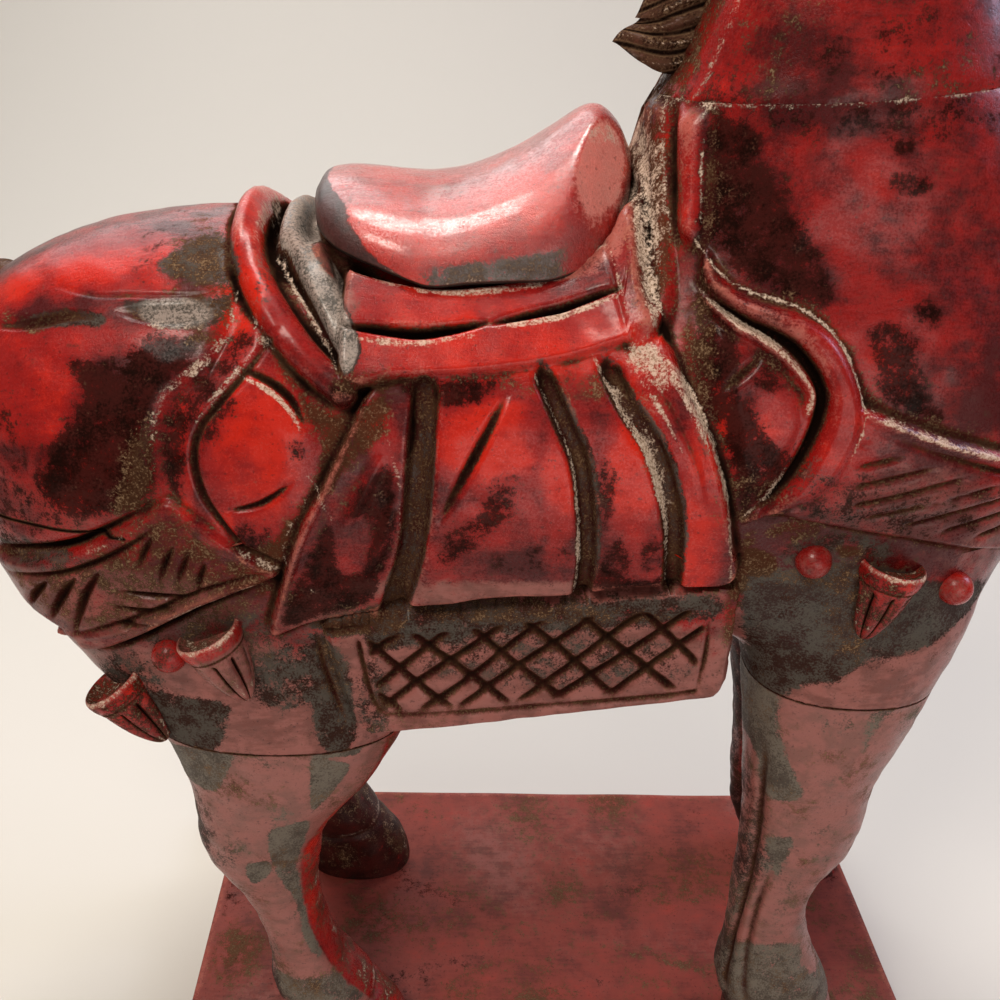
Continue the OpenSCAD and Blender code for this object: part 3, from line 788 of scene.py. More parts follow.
    def flap_field(self, p: Array) -> Array:
        """Signed distance, about, to the lattice flaps.

        Args:
            p: Points.

        Returns:
            Distances, negative inside.
        """
        d = -inside(np.asarray(self.flap, float), p[..., 0], p[..., 2])
        corner = self.flap[0]
        rear = corner[0] + (corner[1] - p[..., 2]) * self.flap_slant
        side = np.minimum(p[..., 0] - rear, self.flap_front - p[..., 0])
        face = np.abs(p[..., 1]) - self.flap_y + self.flap_round * (1 - step(0, self.flap_round, side))
        return np.maximum(blend_max(d, face, 0.5), self.flap_inner - np.abs(p[..., 1]))

    def flap_edge(self, x: Array) -> Array:
        """Angle of a flap's lower edge below the level glue line, seen from the trunk's middle."""
        low = np.interp(x, *zip(*self.flap[3:8]))
        return np.arctan2(self.split_z - low, self.flap_y)

    def neck_edge(self, x: Array, usual: float) -> Array:
        """Angle of the neck's glue face above the level glue line, seen from the trunk's middle.

        Args:
            x: Places along the trunk.
            usual: Angle to use where the neck doesn't stand.

        Returns:
            The angles.
        """
        z = self.seam[1] + (x - self.seam[0]) * math.tan(math.radians(self.seam_tilt)) - 0.02
        low, high = np.zeros(x.shape), np.full(x.shape, 45.0)
        for _ in range(14):
            y = (low + high) / 2
            within = self.field(np.stack([x, -y, z], -1)) < 0
            low, high = np.where(within, y, low), np.where(within, high, y)
        there = low > 2.5
        at, angle = x[there], np.arctan2(z - self.split_z, low)[there]
        places = np.concatenate([[at[0] - 5], at, [at[-1] + 5]])
        return np.interp(x, places, np.concatenate([[usual], angle, [usual]]))

    def field(self, p: Array) -> Array:
        """Signed distance, about, to the body, with fillets where the forms meet.

        Args:
            p: Points.

        Returns:
            Distances, negative inside.
        """
        d = blend_min(self.trunk_field(p), self.neck_field(p), self.neck_fillet)
        legs = ((self.fore, self.fore_x, self.fore_stride, self.fore_seam, self.fore_fillet),
                (self.hind, self.hind_x, self.hind_stride, self.hind_seam, self.hind_fillet))
        for rows, stand, stride, seam, size in legs:
            fillet = 0.1 + size * step(1, 14, p[..., 2] - self.board_z - seam)
            d = blend_min(d, self.leg_field(p, rows, stand, stride), fillet)
        return np.minimum(d, self.flap_field(p))


@dataclass(frozen=True)
class Band:
    """A band of harness standing proud of the body, drawn along X and Z."""

    outline: Path
    height: float
    edge: float = 1.2

    def at(self, x: Array, z: Array) -> Array:
        """Height of the band: rounded over its edge, flat within.

        Args:
            x: Places along X.
            z: Places along Z.

        Returns:
            The heights.
        """
        loop = rounded(self.outline, True)
        out, near = np.zeros(x.shape), close_to(loop, x, z, 0)
        d = np.clip(inside(loop, x[near], z[near]) / self.edge, 0, 1)
        out[near] = self.height * (1 - (1 - d) ** 2)
        return out


@dataclass(frozen=True)
class Welt:
    """A rounded cord along a path; the ends taper by the given share."""

    path: Path
    half: float
    height: float
    taper: float = 0.0

    def at(self, x: Array, z: Array) -> Array:
        """Height of the cord: half an ellipse across the path.

        Args:
            x: Places along X.
            z: Places along Z.

        Returns:
            The heights.
        """
        line = rounded(self.path, False)
        out, near = np.zeros(x.shape), close_to(line, x, z, self.half)
        d, share = along(line, x[near], z[near])
        keep = 1 - self.taper * np.abs(2 * share - 1) ** 3
        out[near] = self.height * keep * np.sqrt(np.clip(1 - (d / (self.half * keep)) ** 2, 0, 1))
        return out


@dataclass(frozen=True)
class Cut:
    """A carved groove: lean makes the right-hand wall wider, wall 1 is a V and less is flat-bottomed."""

    path: Path
    half: float
    depth: float
    lean: float = 0.0
    wall: float = 1.0
    level: bool = False

    def at(self, x: Array, z: Array) -> Array:
        """Depth of the groove, tapered to both ends unless it is level.

        Args:
            x: Places along X.
            z: Places along Z.

        Returns:
            The depths.
        """
        line = rounded(self.path, False)
        out, near = np.zeros(x.shape), close_to(line, x, z, 2 * self.half)
        d, share = along(line, x[near], z[near])
        keep = np.ones(d.shape) if self.level else np.sin(math.pi * np.clip(share, 0.03, 0.97)) ** 0.45
        half = self.half * keep * np.where(d > 0, 1 + self.lean, 1 - self.lean)
        out[near] = self.depth * keep * step(0, self.wall, 1 - np.abs(d) / half)
        return out


@dataclass(frozen=True)
class Stain:
    """A patch of the patina: a soft ellipse along X and Z."""

    x: float
    z: float
    wide: float
    high: float
    strength: float
    turn: float = 0.0

    def at(self, x: Array, z: Array) -> Array:
        """Strength of the patch, full in its middle and fading out at its rim.

        Args:
            x: Places along X.
            z: Places along Z.

        Returns:
            The strengths.
        """
        c, s = math.cos(math.radians(self.turn)), math.sin(math.radians(self.turn))
        u, v = (x - self.x) * c + (z - self.z) * s, (z - self.z) * c - (x - self.x) * s
        return self.strength * (1 - step(0.5, 1.3, np.hypot(u / self.wide, v / self.high)))


@dataclass(frozen=True)
class Patch:
    """A patch of the patina with a drawn outline along X and Z and a soft edge."""

    outline: Path
    strength: float
    soft: float = 1.8

    def at(self, x: Array, z: Array) -> Array:
        """Strength of the patch: a smooth step across its outline.

        Args:
            x: Places along X.
            z: Places along Z.

        Returns:
            The strengths.
        """
        loop = rounded(self.outline, True, 4)
        out, near = np.zeros(x.shape), close_to(loop, x, z, self.soft)
        out[near] = self.strength * step(-self.soft, self.soft, inside(loop, x[near], z[near]))
        return out


def close_to(line: Array, x: Array, z: Array, margin: float) -> Array:
    """Marks the points within the box of a line, grown by a margin."""
    low, high = line.min(0) - margin - 0.01, line.max(0) + margin + 0.01
    return (x > low[0]) & (x < high[0]) & (z > low[1]) & (z < high[1])


def highest(items: tuple, x: Array, z: Array) -> Array:
    """Greatest value of several bands, grooves or patches at each point.

    Args:
        items: The bands, grooves or patches.
        x: Places along X.
        z: Places along Z.

    Returns:
        The greatest values.
    """
    out = np.zeros(x.shape)
    for item in items:
        out = np.maximum(out, item.at(x, z))
    return out


def stains(rows: Rows) -> tuple[Stain, ...]:
    """Soft ellipses from rows of place, half sizes, strength and, for some, a turn."""
    return tuple(Stain(*row) for row in rows)


ROLL_CLOTH: Path = ((-61, 235), (-60.4, 206), (-57, 201), (-52.6, 195.6), (-49, 190.4), (-47, 187.6),
                    (-45.2, 188.5), (-44.5, 192), (-48, 197.5), (-53.5, 202.5), (-55.5, 207), (-55.5, 235))
# Painted shadow line under the skirt's edge at the flap's corner, also grey-brown dirt
SKIRT_EDGE_SHADOW: Path = ((-53, 143.5), (-46, 145.6), (-38, 147.5), (-38, 142), (-46, 141), (-53, 140))


@dataclass(frozen=True)
class Harness:
    """The carved saddle cloth, straps and grooves of one side, drawn along X and Z."""

    bands: tuple = (
        # Skirt and its hind fold
        Band(((-36, 192), (-35, 180), (-35, 168), (-36.5, 158), (-38, 147.5), (-31, 147), (-21, 149),
              (-8, 150), (1, 152), (18.5, 153.5), (16.3, 165), (12, 178), (7, 187), (1, 196), (-16, 196)),
             3.3, 1.3),
        Band(((-33, 191), (-43, 185.5), (-47, 176), (-50, 169), (-54, 160), (-57.5, 149), (-60, 140),
              (-52, 143), (-36, 146), (-33, 160)), 2.3, 1.0),
        # Pad under the seat
        Band(((-47.5, 202.5), (-46, 201), (-35, 199.4), (-23, 200), (-13, 202.6), (-7, 206.5),
              (-3.4, 212.5), (-1.8, 210), (-0.8, 202), (1.2, 196.2), (-7, 192), (-16, 189.6), (-27, 188),
              (-38, 187.4), (-47.5, 187)), 4.8, 0.9),
        # Rolled cloth
        Band(((-61, 235), (-60.6, 206), (-57.5, 201), (-53, 195.5), (-49.5, 190), (-47.2, 186.6),
              (-45.2, 188.5), (-44.5, 192), (-47, 197.5), (-51.5, 203.5), (-55.5, 207), (-55.5, 235)),
             3.0, 2.2),
        # Collar strap and cord
        Band(((-3, 229), (-1.8, 218), (-0.9, 209), (0.8, 195.5), (4.3, 199), (3.2, 212), (2.6, 229)),
             1.5, 1.2),
        Band(((3.2, 226), (3.6, 214), (4.2, 208.5), (7.4, 208.5), (7.6, 218), (6.6, 226)), 2.2, 1.9),
        # Loop on the shoulder
        Band(((8, 207.5), (13, 202.5), (23, 200.3), (29, 196.5), (33.2, 189.5), (34.3, 184), (33, 178),
              (30, 172), (24, 168.5), (17.5, 164.5), (21, 169.5), (24.6, 175), (27.6, 183.5),
              (27.2, 189.5), (22, 195.5), (14, 198.6), (8, 202)), 2.6, 2.2),
        # Breast strap
        Band(((30, 188), (34, 186.5), (43, 183.3), (53, 180.4), (60, 178.4), (75, 174.5), (100, 168),
              (100, 150), (80, 154.8), (65, 159), (48, 163), (36, 165), (25, 167.3), (21, 168.5),
              (27, 172)), 1.8, 0.8),
        # Drape of the rump
        Band(((-58, 153), (-63, 157.5), (-69, 162.3), (-75, 166.3), (-79, 163.5), (-87, 158.5),
              (-94, 154.6), (-106, 150), (-135, 146), (-135, 139), (-101, 138.5), (-93, 133.5),
              (-84, 138), (-72, 145.5)), 1.7, 0.9),
    )
    welts: tuple = (
        # Cord behind the roll
        Welt(((-66.2, 240), (-66, 212), (-65, 206), (-62.6, 201), (-58.4, 195.8), (-53, 190),
              (-47, 185.4)), 2.6, 3.7),
        # Inner cord of the loop
        Welt(((8.3, 200.6), (13, 197.2), (20, 194), (25.6, 188.6), (25.4, 185)), 0.9, 1.9, 0.5),
        # Pleats of the hind fold
        Welt(((-43, 184), (-49.6, 169.5), (-54, 160), (-59.6, 141)), 0.9, 3.1, 0.3),
        Welt(((-39, 179), (-43, 171), (-49, 158)), 1.8, 3.2, 0.8),
        Welt(((-38, 171), (-41, 160), (-46, 149)), 1.9, 3.2, 0.8),
        # Breast strap and drape
        Welt(((34, 186), (43, 183), (53, 180), (75, 174.3), (100, 168)), 0.9, 2.6),
        Welt(((-60, 153), (-72, 147.3), (-84, 141), (-99, 136)), 0.8, 2.4, 0.2),
    )
    cuts: tuple = (
        # Slots of the skirt
        Cut(((-34, 185), (-34.4, 178), (-34.8, 170), (-35.6, 160), (-37.5, 151), (-39.3, 144)),
            2.5, 2.4, 0.1, 0.45, True),
        Cut(((-21.5, 185), (-25, 178), (-28, 172), (-31.4, 165)), 1.1, 1.2, 0.2, 0.8),
        Cut(((-14.9, 187.3), (-12.2, 182), (-9.2, 176), (-7.6, 168), (-6.6, 159), (-6.6, 149.5)),
            2.1, 2.2, 0.35, 0.8, True),
        Cut(((-4.7, 188.9), (-2.4, 185), (2.2, 179), (5.2, 172), (7.2, 164), (8.6, 153)),
            2.3, 2.1, 0.35, 0.8, True),
        Cut(((-0.6, 191), (4.2, 184.5), (8.4, 177), (10.5, 170)), 0.5, 0.6),
        # Slits of the pad
        Cut(((-47.6, 194.1), (-42, 193.7), (-36, 193.3), (-31, 193.8), (-25, 194.8)), 0.78, 2.8, 0, 0.6),
        Cut(((-24.5, 194.6), (-18, 196), (-13, 197), (-8, 198.9), (-3.2, 200.8)), 0.62, 2.0, 0, 0.7),
        Cut(((-6.2, 206), (-4.7, 200), (-3, 194.5)), 0.4, 0.6),
        # Roll and collar
        Cut(((-61.9, 240), (-61.6, 206), (-57.8, 200.7), (-53.2, 195.7), (-49.5, 191), (-47.5, 188)),
            1.6, 2.8, -0.2, 0.8),
        Cut(((-0.6, 214), (1.4, 204), (2.2, 198)), 0.5, 0.8),
        Cut(((0.4, 226), (0.7, 214), (2.6, 202)), 0.5, 0.8),
        # Loop and breast strap
        Cut(((18, 193), (15, 190), (12, 187)), 0.9, 1.2),
        Cut(((8, 201.4), (14, 198), (22, 195), (27, 189.3), (27.3, 183.5), (24.3, 175), (19, 167.5)),
            1.1, 1.6, 0, 0.8),
        Cut(((36, 183.6), (43, 181.1), (49, 179.1), (59, 176.2), (75, 172), (98, 166)), 0.75, 1.3),
        # Drape of the rump
        Cut(((-106, 147), (-95, 150.4), (-87, 154.4), (-79.5, 159.6), (-76.5, 163)), 0.9, 1.5),
        Cut(((-110, 150.5), (-94, 155.6), (-87, 159.3), (-78.5, 164.8)), 1.0, 1.5),
        Cut(((-92, 150.5), (-96, 145), (-99, 139.5)), 1.3, 1.6),
        Cut(((-87.5, 152.5), (-91.5, 146), (-94.5, 138)), 1.2, 1.5),
        Cut(((-97.5, 148.5), (-101.5, 144), (-104, 140)), 1.2, 1.5),
        Cut(((-77.8, 160), (-79.5, 157), (-81.5, 153)), 0.75, 1.7),
        Cut(((-74.5, 158.5), (-76.3, 155), (-78, 150.5)), 0.75, 1.7),
        Cut(((-72.2, 157.3), (-73.6, 154), (-75, 150.5)), 0.7, 1.6),
        Cut(((-69.6, 155.5), (-70.8, 152.5), (-71.6, 149.5)), 0.7, 1.6),
        Cut(((-86, 148.6), (-80, 148.2), (-72, 148.4)), 0.7, 1.6),
        Cut(((-86.5, 145.2), (-81, 144.9), (-75, 145.8)), 0.7, 1.6),
        Cut(((-87.5, 142), (-84, 141.6), (-80, 142.2)), 0.7, 1.6),
        Cut(((-97, 136.6), (-84, 142.6), (-72, 149), (-60, 154)), 0.7, 1.6),
        Cut(((-95, 133), (-84, 137.6), (-72, 145), (-61, 150.5)), 0.8, 1.4),
        # Hip
        Cut(((-57, 193), (-61.6, 187.2), (-66, 182.3), (-69.1, 178.4), (-70.2, 174.2), (-69.5, 169.1),
             (-67.5, 164.5), (-62.5, 157.4), (-58, 154)), 1.0, 1.3),
        Cut(((-63.4, 187), (-59, 185.4), (-55.4, 182.6), (-53, 178.6)), 0.85, 1.6, -0.4),
        Cut(((-65.4, 165), (-60, 166.6), (-55, 170.4)), 0.8, 1.3),
        Cut(((-63.8, 159), (-60.4, 157), (-56.8, 155)), 0.7, 1.0),
        # Rump
        Cut(((-95, 194.7), (-87.3, 194.5), (-81.8, 195.1), (-76.5, 195.4), (-70, 195.9), (-66.9, 196.9)),
            0.4, 0.5),
        Cut(((-83, 193), (-76, 193), (-70, 193.6), (-66.4, 194.4)), 1.5, 0.5, 0, 0.5),
        Cut(((-105, 188), (-97.4, 190), (-91, 191.7), (-86, 191.9)), 1.1, 0.7, 0, 0.6),
        # Hind edge of the flap
        Cut(((-52.6, 141), (-51.8, 134), (-50.6, 128.8), (-48.8, 122.5), (-47.2, 117.5)),
            0.7, 1.0, 0, 0.8),
    )
    swells: tuple = (
        Band(((-60, 196), (-66, 190), (-72, 183), (-75, 176), (-75, 168), (-72, 161), (-66, 155),
              (-58, 152), (-52, 158), (-50, 170), (-52, 182)), 1.8, 7.0),
        Band(((-66, 190), (-74, 184), (-78, 174), (-79, 164), (-84, 160), (-100, 154), (-124, 152),
              (-124, 250), (-66, 250)), 1.0, 3.2),
        Band(((10, 197), (19, 193), (24.5, 187), (24.5, 181), (21, 172), (17, 168), (14, 176), (11, 186)),
             0.9, 4.0),
    )
    dark: tuple = (
        Patch(((-90.6, 186.5), (-82.8, 186.5), (-78.3, 190), (-69, 191), (-69.5, 188.8), (-72.9, 184.9),
               (-76.2, 180.3), (-76.7, 173), (-76.5, 166), (-81.6, 163.6), (-93.3, 162), (-97, 167.4),
               (-94.4, 173), (-90.6, 177.4), (-88.5, 182.8)), 0.95, 2.6),
        Patch(((-75.2, 180.9), (-71.3, 184.7), (-65.1, 191.1), (-60.5, 190.4), (-63.2, 186.7),
               (-69.2, 180.1), (-71, 173.6), (-72.8, 166.4), (-75.7, 168.1), (-76.2, 176.5)), 0.66, 2.0),
        # Painted shadow under the pad's lower edge, over dark patina
        Patch(((-38.8, 186), (-23.5, 187.5), (-24.6, 184), (-30.9, 182.8), (-36.6, 183.8)), 0.8, 1.2),
        Patch(((-40, 173.9), (-38.2, 165.4), (-40.3, 155.6), (-43.1, 146.9), (-50.1, 145.3),
               (-57.1, 142.5), (-57.8, 147), (-51, 161.9), (-48.5, 163.4), (-47.9, 155.4), (-44.6, 154.5),
               (-42.8, 163.5), (-46.4, 165.2), (-44.3, 170.2)), 0.9, 1.8),
        Patch(((-24.1, 171.9), (-20.1, 172.9), (-20.2, 166.9), (-23.7, 162.2), (-28.1, 157.6),
               (-31.9, 157), (-30.7, 162.5), (-26, 166.7)), 0.66, 2.2),
        Patch(((7.9, 225.5), (16.2, 224.6), (16.1, 220.7), (20, 216.7), (22, 213), (26.2, 206.7),
               (28.3, 201.2), (23.7, 200), (14.8, 202.6), (10.4, 205.4), (8, 213.8)), 0.85, 2.6),
        Patch(((32.9, 198), (40.1, 197.8), (43.9, 189.6), (48.3, 184.3), (37.9, 186.1), (35.2, 192.9)),
              0.85, 2.4),
        Patch(((12.2, 186), (17, 187.5), (18.2, 183.6), (22.5, 179.1), (26.4, 178.5), (25.3, 175.4),
               (21, 170.2), (18.7, 166.7), (16.5, 168.6), (13.8, 177.1)), 0.9, 2.0),
        Patch(((-69.4, 175.7), (-69.7, 180.6), (-67.7, 182.1), (-63.4, 183.5), (-63.8, 180.8),
               (-65.5, 178.4), (-65, 176.8), (-68.1, 174.9)), 0.62, 1.4),
        Patch(((-56.1, 177.1), (-53.1, 177.5), (-52.4, 175.5), (-53.6, 173.2), (-55.3, 174.5)), 0.5, 1.3),
        Patch(((-5.6, 156), (-3, 157.5), (2, 155.5), (6.2, 156), (6.6, 152), (-5.6, 151)), 0.85, 1.6),
        *stains((
            (-104, 162, 16, 7, 0.5), (35.5, 223.7, 2, 1.6, 0.75), (37, 218.6, 4, 2, 0.7),
            (42.4, 200.5, 3, 3, 0.65), (70, 214, 9, 16, 0.62), (9.4, 206, 2.5, 20, 0.75),
            (11, 190, 4, 13, 0.85), (40, 145, 26, 13, 0.35), (-2.6, 157, 4, 7, 0.62),
            (4, 160, 3, 6, 0.55), (-5.5, 170, 2.5, 8, 0.5), (-55, 150, 6, 10, 0.5),
            (-84, 147, 20, 10, 0.45), (36, 171, 14, 7, 0.5), (-61, 160, 5, 4, 0.6), (-46, 184, 4, 4, 0.8),
            (60, 172, 18, 7, 0.4), (30, 228, 30, 5, 0.5), (-76, 199, 10, 5, 0.35), (22, 168, 5, 3, 0.6),
            (-20, 145, 34, 5, 0.4), (-36, 150, 3, 6, 0.45), (16, 178, 5, 7, 0.7), (50, 166, 14, 4, 0.5),
            (19, 191, 5, 4, 0.55), (24, 177, 4, 4, 0.5), (-103, 172, 8, 9, 0.45), (-15, 158, 10, 4, 0.42),
        )),
    )
    dirt: tuple = (
        Patch(((-58.5, 189.1), (-55.1, 184.5), (-50.3, 181.3), (-45.8, 181), (-40.6, 185.1),
               (-40.2, 179.3), (-44.4, 174.6), (-48.4, 170.1), (-52.8, 165), (-55.5, 158.2), (-59.1, 154),
               (-61.5, 156.9), (-55.2, 165), (-51.4, 171.2), (-50.8, 176.5), (-53, 179.5),
               (-55.2, 186.2)), 0.95, 1.5),
        Patch(((-81.2, 164.4), (-76.1, 166.5), (-71.1, 163.9), (-65.1, 158.9), (-59.7, 154), (-60.6, 146),
               (-65.5, 142.6), (-75.3, 139.2), (-83.6, 139.5), (-100, 142), (-104, 148), (-92, 154)),
              0.56, 3.0),
        Patch(((-79.9, 177), (-76.8, 178.7), (-77.1, 169.8), (-75.9, 164.9), (-83.8, 163.3),
               (-81.5, 171.2)), 0.75, 2.0),
        Patch(((19.3, 160.4), (24.9, 158.8), (25.9, 154.6), (21, 154)), 0.95, 1.2),
        # painted shadow under the skirt's edge, also dirt
        Patch(SKIRT_EDGE_SHADOW, 0.75, 1.2),
        *stains((
            (37.5, 160.2, 2.6, 1.6, 0.9), (1, 211, 4.5, 18, 0.9), (-69, 194, 5, 6, 0.7),
            (-62, 151, 8, 5, 0.6), (-27, 201, 16, 2.4, 0.6), (38, 155, 12, 5, 0.5),
            (-68, 137, 10, 6, 0.5), (18, 170, 8, 6, 0.45), (-54, 204, 6, 5, 0.6), (8.6, 194, 3, 12, 0.6),
            (20, 152, 2.6, 14, 0.7), (-20, 146.5, 30, 2.4, 0.55), (-73, 199, 5, 5, 0.55),
            (43, 145, 8, 9, 0.45), (-43, 186, 6, 3, 0.7), (-10, 186.5, 14, 2.2, 0.5),
            (-99, 189.6, 5, 1.2, 0.6), (-70, 201, 5, 2, 0.6), (28, 164, 6, 3, 0.6),
            (-30, 120, 20, 3, 0.35), (-50, 132, 3, 10, 0.5),
        )),
    )
    # Rose: faded lacquer, partly a painted reflection of the pale floor on the lower body
    rose: tuple = (
        *stains((
            (-70, 122, 30, 20, 1.0), (-15, 132, 50, 18, 1.0), (45, 132, 40, 22, 1.0),
            (-15, 150.5, 40, 4, 0.8), (-84, 146, 26, 10, 0.66), (45, 170, 22, 10, 0.5),
            (-90, 163, 20, 7, 0.4), (-50, 145, 12, 6, 0.6), (-51, 199, 5, 9, 0.7, 35),
            (70, 165, 20, 18, 0.5),
        )),
    )
    bright: tuple = (
        Patch(((-112, 190), (-102.3, 195.2), (-88.9, 199.5), (-78, 201.7), (-75, 200.2), (-76.5, 198),
               (-75, 196.3), (-82.5, 195.5), (-94.5, 194), (-106, 190)), 1.0, 1.6),
        Patch(((-112, 186), (-97.1, 189), (-84.9, 191.2), (-72, 191), (-78.3, 188.7), (-83.9, 186.8),
               (-89.3, 186.2), (-89, 182.3), (-90.5, 179.6), (-91, 176.1), (-97, 173.3), (-114, 173)),
              0.62, 1.8),
        Patch(((16.6, 221), (20.4, 225), (30.2, 225), (33.4, 221), (33.7, 213), (33.3, 205), (28.7, 203),
               (26, 207.7), (21.9, 211), (22.5, 214), (19.8, 218)), 0.45, 3.0),
        *stains((
            (-60.5, 175, 9, 12, 1.0), (-25, 178, 9, 8, 1.0), (-12, 172, 4, 13, 0.8),
            (-1, 175, 5, 13, 1.0), (11, 168, 5, 20, 0.95), (-22, 193, 30, 8, 0.9), (30, 188, 7, 14, 0.5),
            (-64, 200, 5, 14, 1.0), (5, 217, 3, 10, 0.8), (21, 184, 5, 4, 0.45),
            (-41, 178, 3, 8, 0.6, 25), (-72, 172, 1.6, 12, 0.7), (-48, 141.5, 8, 1.6, 0.8, 20),
            (-20, 165, 8, 6, 0.5), (-66, 163, 2, 4, 0.8),
        )),
    )
    slate: tuple = (
        Patch(((20.7, 153.5), (29.4, 156.1), (39.4, 158.3), (55.5, 153.9), (68, 150), (62.3, 142.8),
               (55, 138.6), (45.8, 136.7), (43.2, 131.7), (37.2, 129.5), (30.4, 120.5), (25.6, 136.6)),
              1.0, 2.0),
        Patch(((-66, 140.8), (-62.8, 136.4), (-50.9, 140.3), (-51, 128), (-55, 123), (-63.6, 124),
               (-65.7, 130)), 0.7, 2.2),
        Patch(((-54, 136), (-47.5, 137), (-46, 114), (-52.7, 114)), 0.9, 1.4),
        Patch(((-84, 125), (-69.6, 124.7), (-69, 120), (-72.7, 112), (-84, 111)), 0.9, 1.6),
        Patch(((-35.5, 186), (-33, 186), (-32.4, 173.3), (-33.2, 162.4), (-35.6, 149.2), (-37.3, 145.5),
               (-41, 145.9), (-39.9, 153.5), (-37.8, 158.8), (-37.1, 172.4), (-35.7, 177.6)), 1.1, 0.6),
        Patch(((-44, 143.7), (-36, 146.6), (-16, 148.7), (0, 150), (15, 151.5), (16, 146), (-15.6, 141.7),
               (-24.5, 140.9), (-35.9, 138.5), (-43, 137.8)), 0.85, 2.0),
        Patch(((-77, 200), (-71.5, 202.5), (-65, 202), (-64.5, 197), (-70.2, 196.8), (-75, 197.1),
               (-78, 198.2)), 0.9, 1.6),
        Patch(((-82.5, 194.3), (-76.5, 195), (-69, 196), (-65.5, 196), (-66.4, 193), (-67.4, 191.6),
               (-73.9, 191.3), (-78.3, 192)), 0.9, 1.0),
        Patch(((-104, 188.4), (-94, 192), (-85.7, 192.6), (-85.8, 191), (-96, 189.3)), 0.9, 0.8),
        Patch(ROLL_CLOTH, 1.1, 0.8),
        Welt(((-16.3, 190), (-12.2, 182), (-9.2, 176), (-7.6, 168), (-6.6, 159), (-6.6, 149.5)),
             2.2, 1.1, 0.5),
        Welt(((-6.6, 192), (-2.4, 185), (2.2, 179), (5.2, 172), (7.2, 164), (8.6, 153)), 2.2, 1.1, 0.5),
        # painted shadow under the skirt's edge, in grey
        Patch(SKIRT_EDGE_SHADOW, 1.0, 1.2),
        *stains((
            (36, 160, 12, 6, 0.6), (-42.5, 126, 3.6, 13, 0.6), (-72, 140, 20, 7, 0.6),
            (-86, 128, 8, 9, 0.6), (-12, 137, 30, 9, 0.52), (-51, 194, 4, 10, 0.4, 38),
            (-84, 150, 20, 4, 0.5), (26, 176, 6, 5, 0.4), (-98, 153, 12, 4, 0.62), (38, 168, 14, 5, 0.5),
            (-60, 202, 2, 12, 0.5),
        )),
    )
    polish: tuple = (
        Patch(ROLL_CLOTH, 1.0, 0.8),
        *stains((
            (-74, 193.5, 9, 3, 0.9), (-36, 165, 3, 22, 0.6), (40, 148, 26, 12, 0.5),
        )),
    )
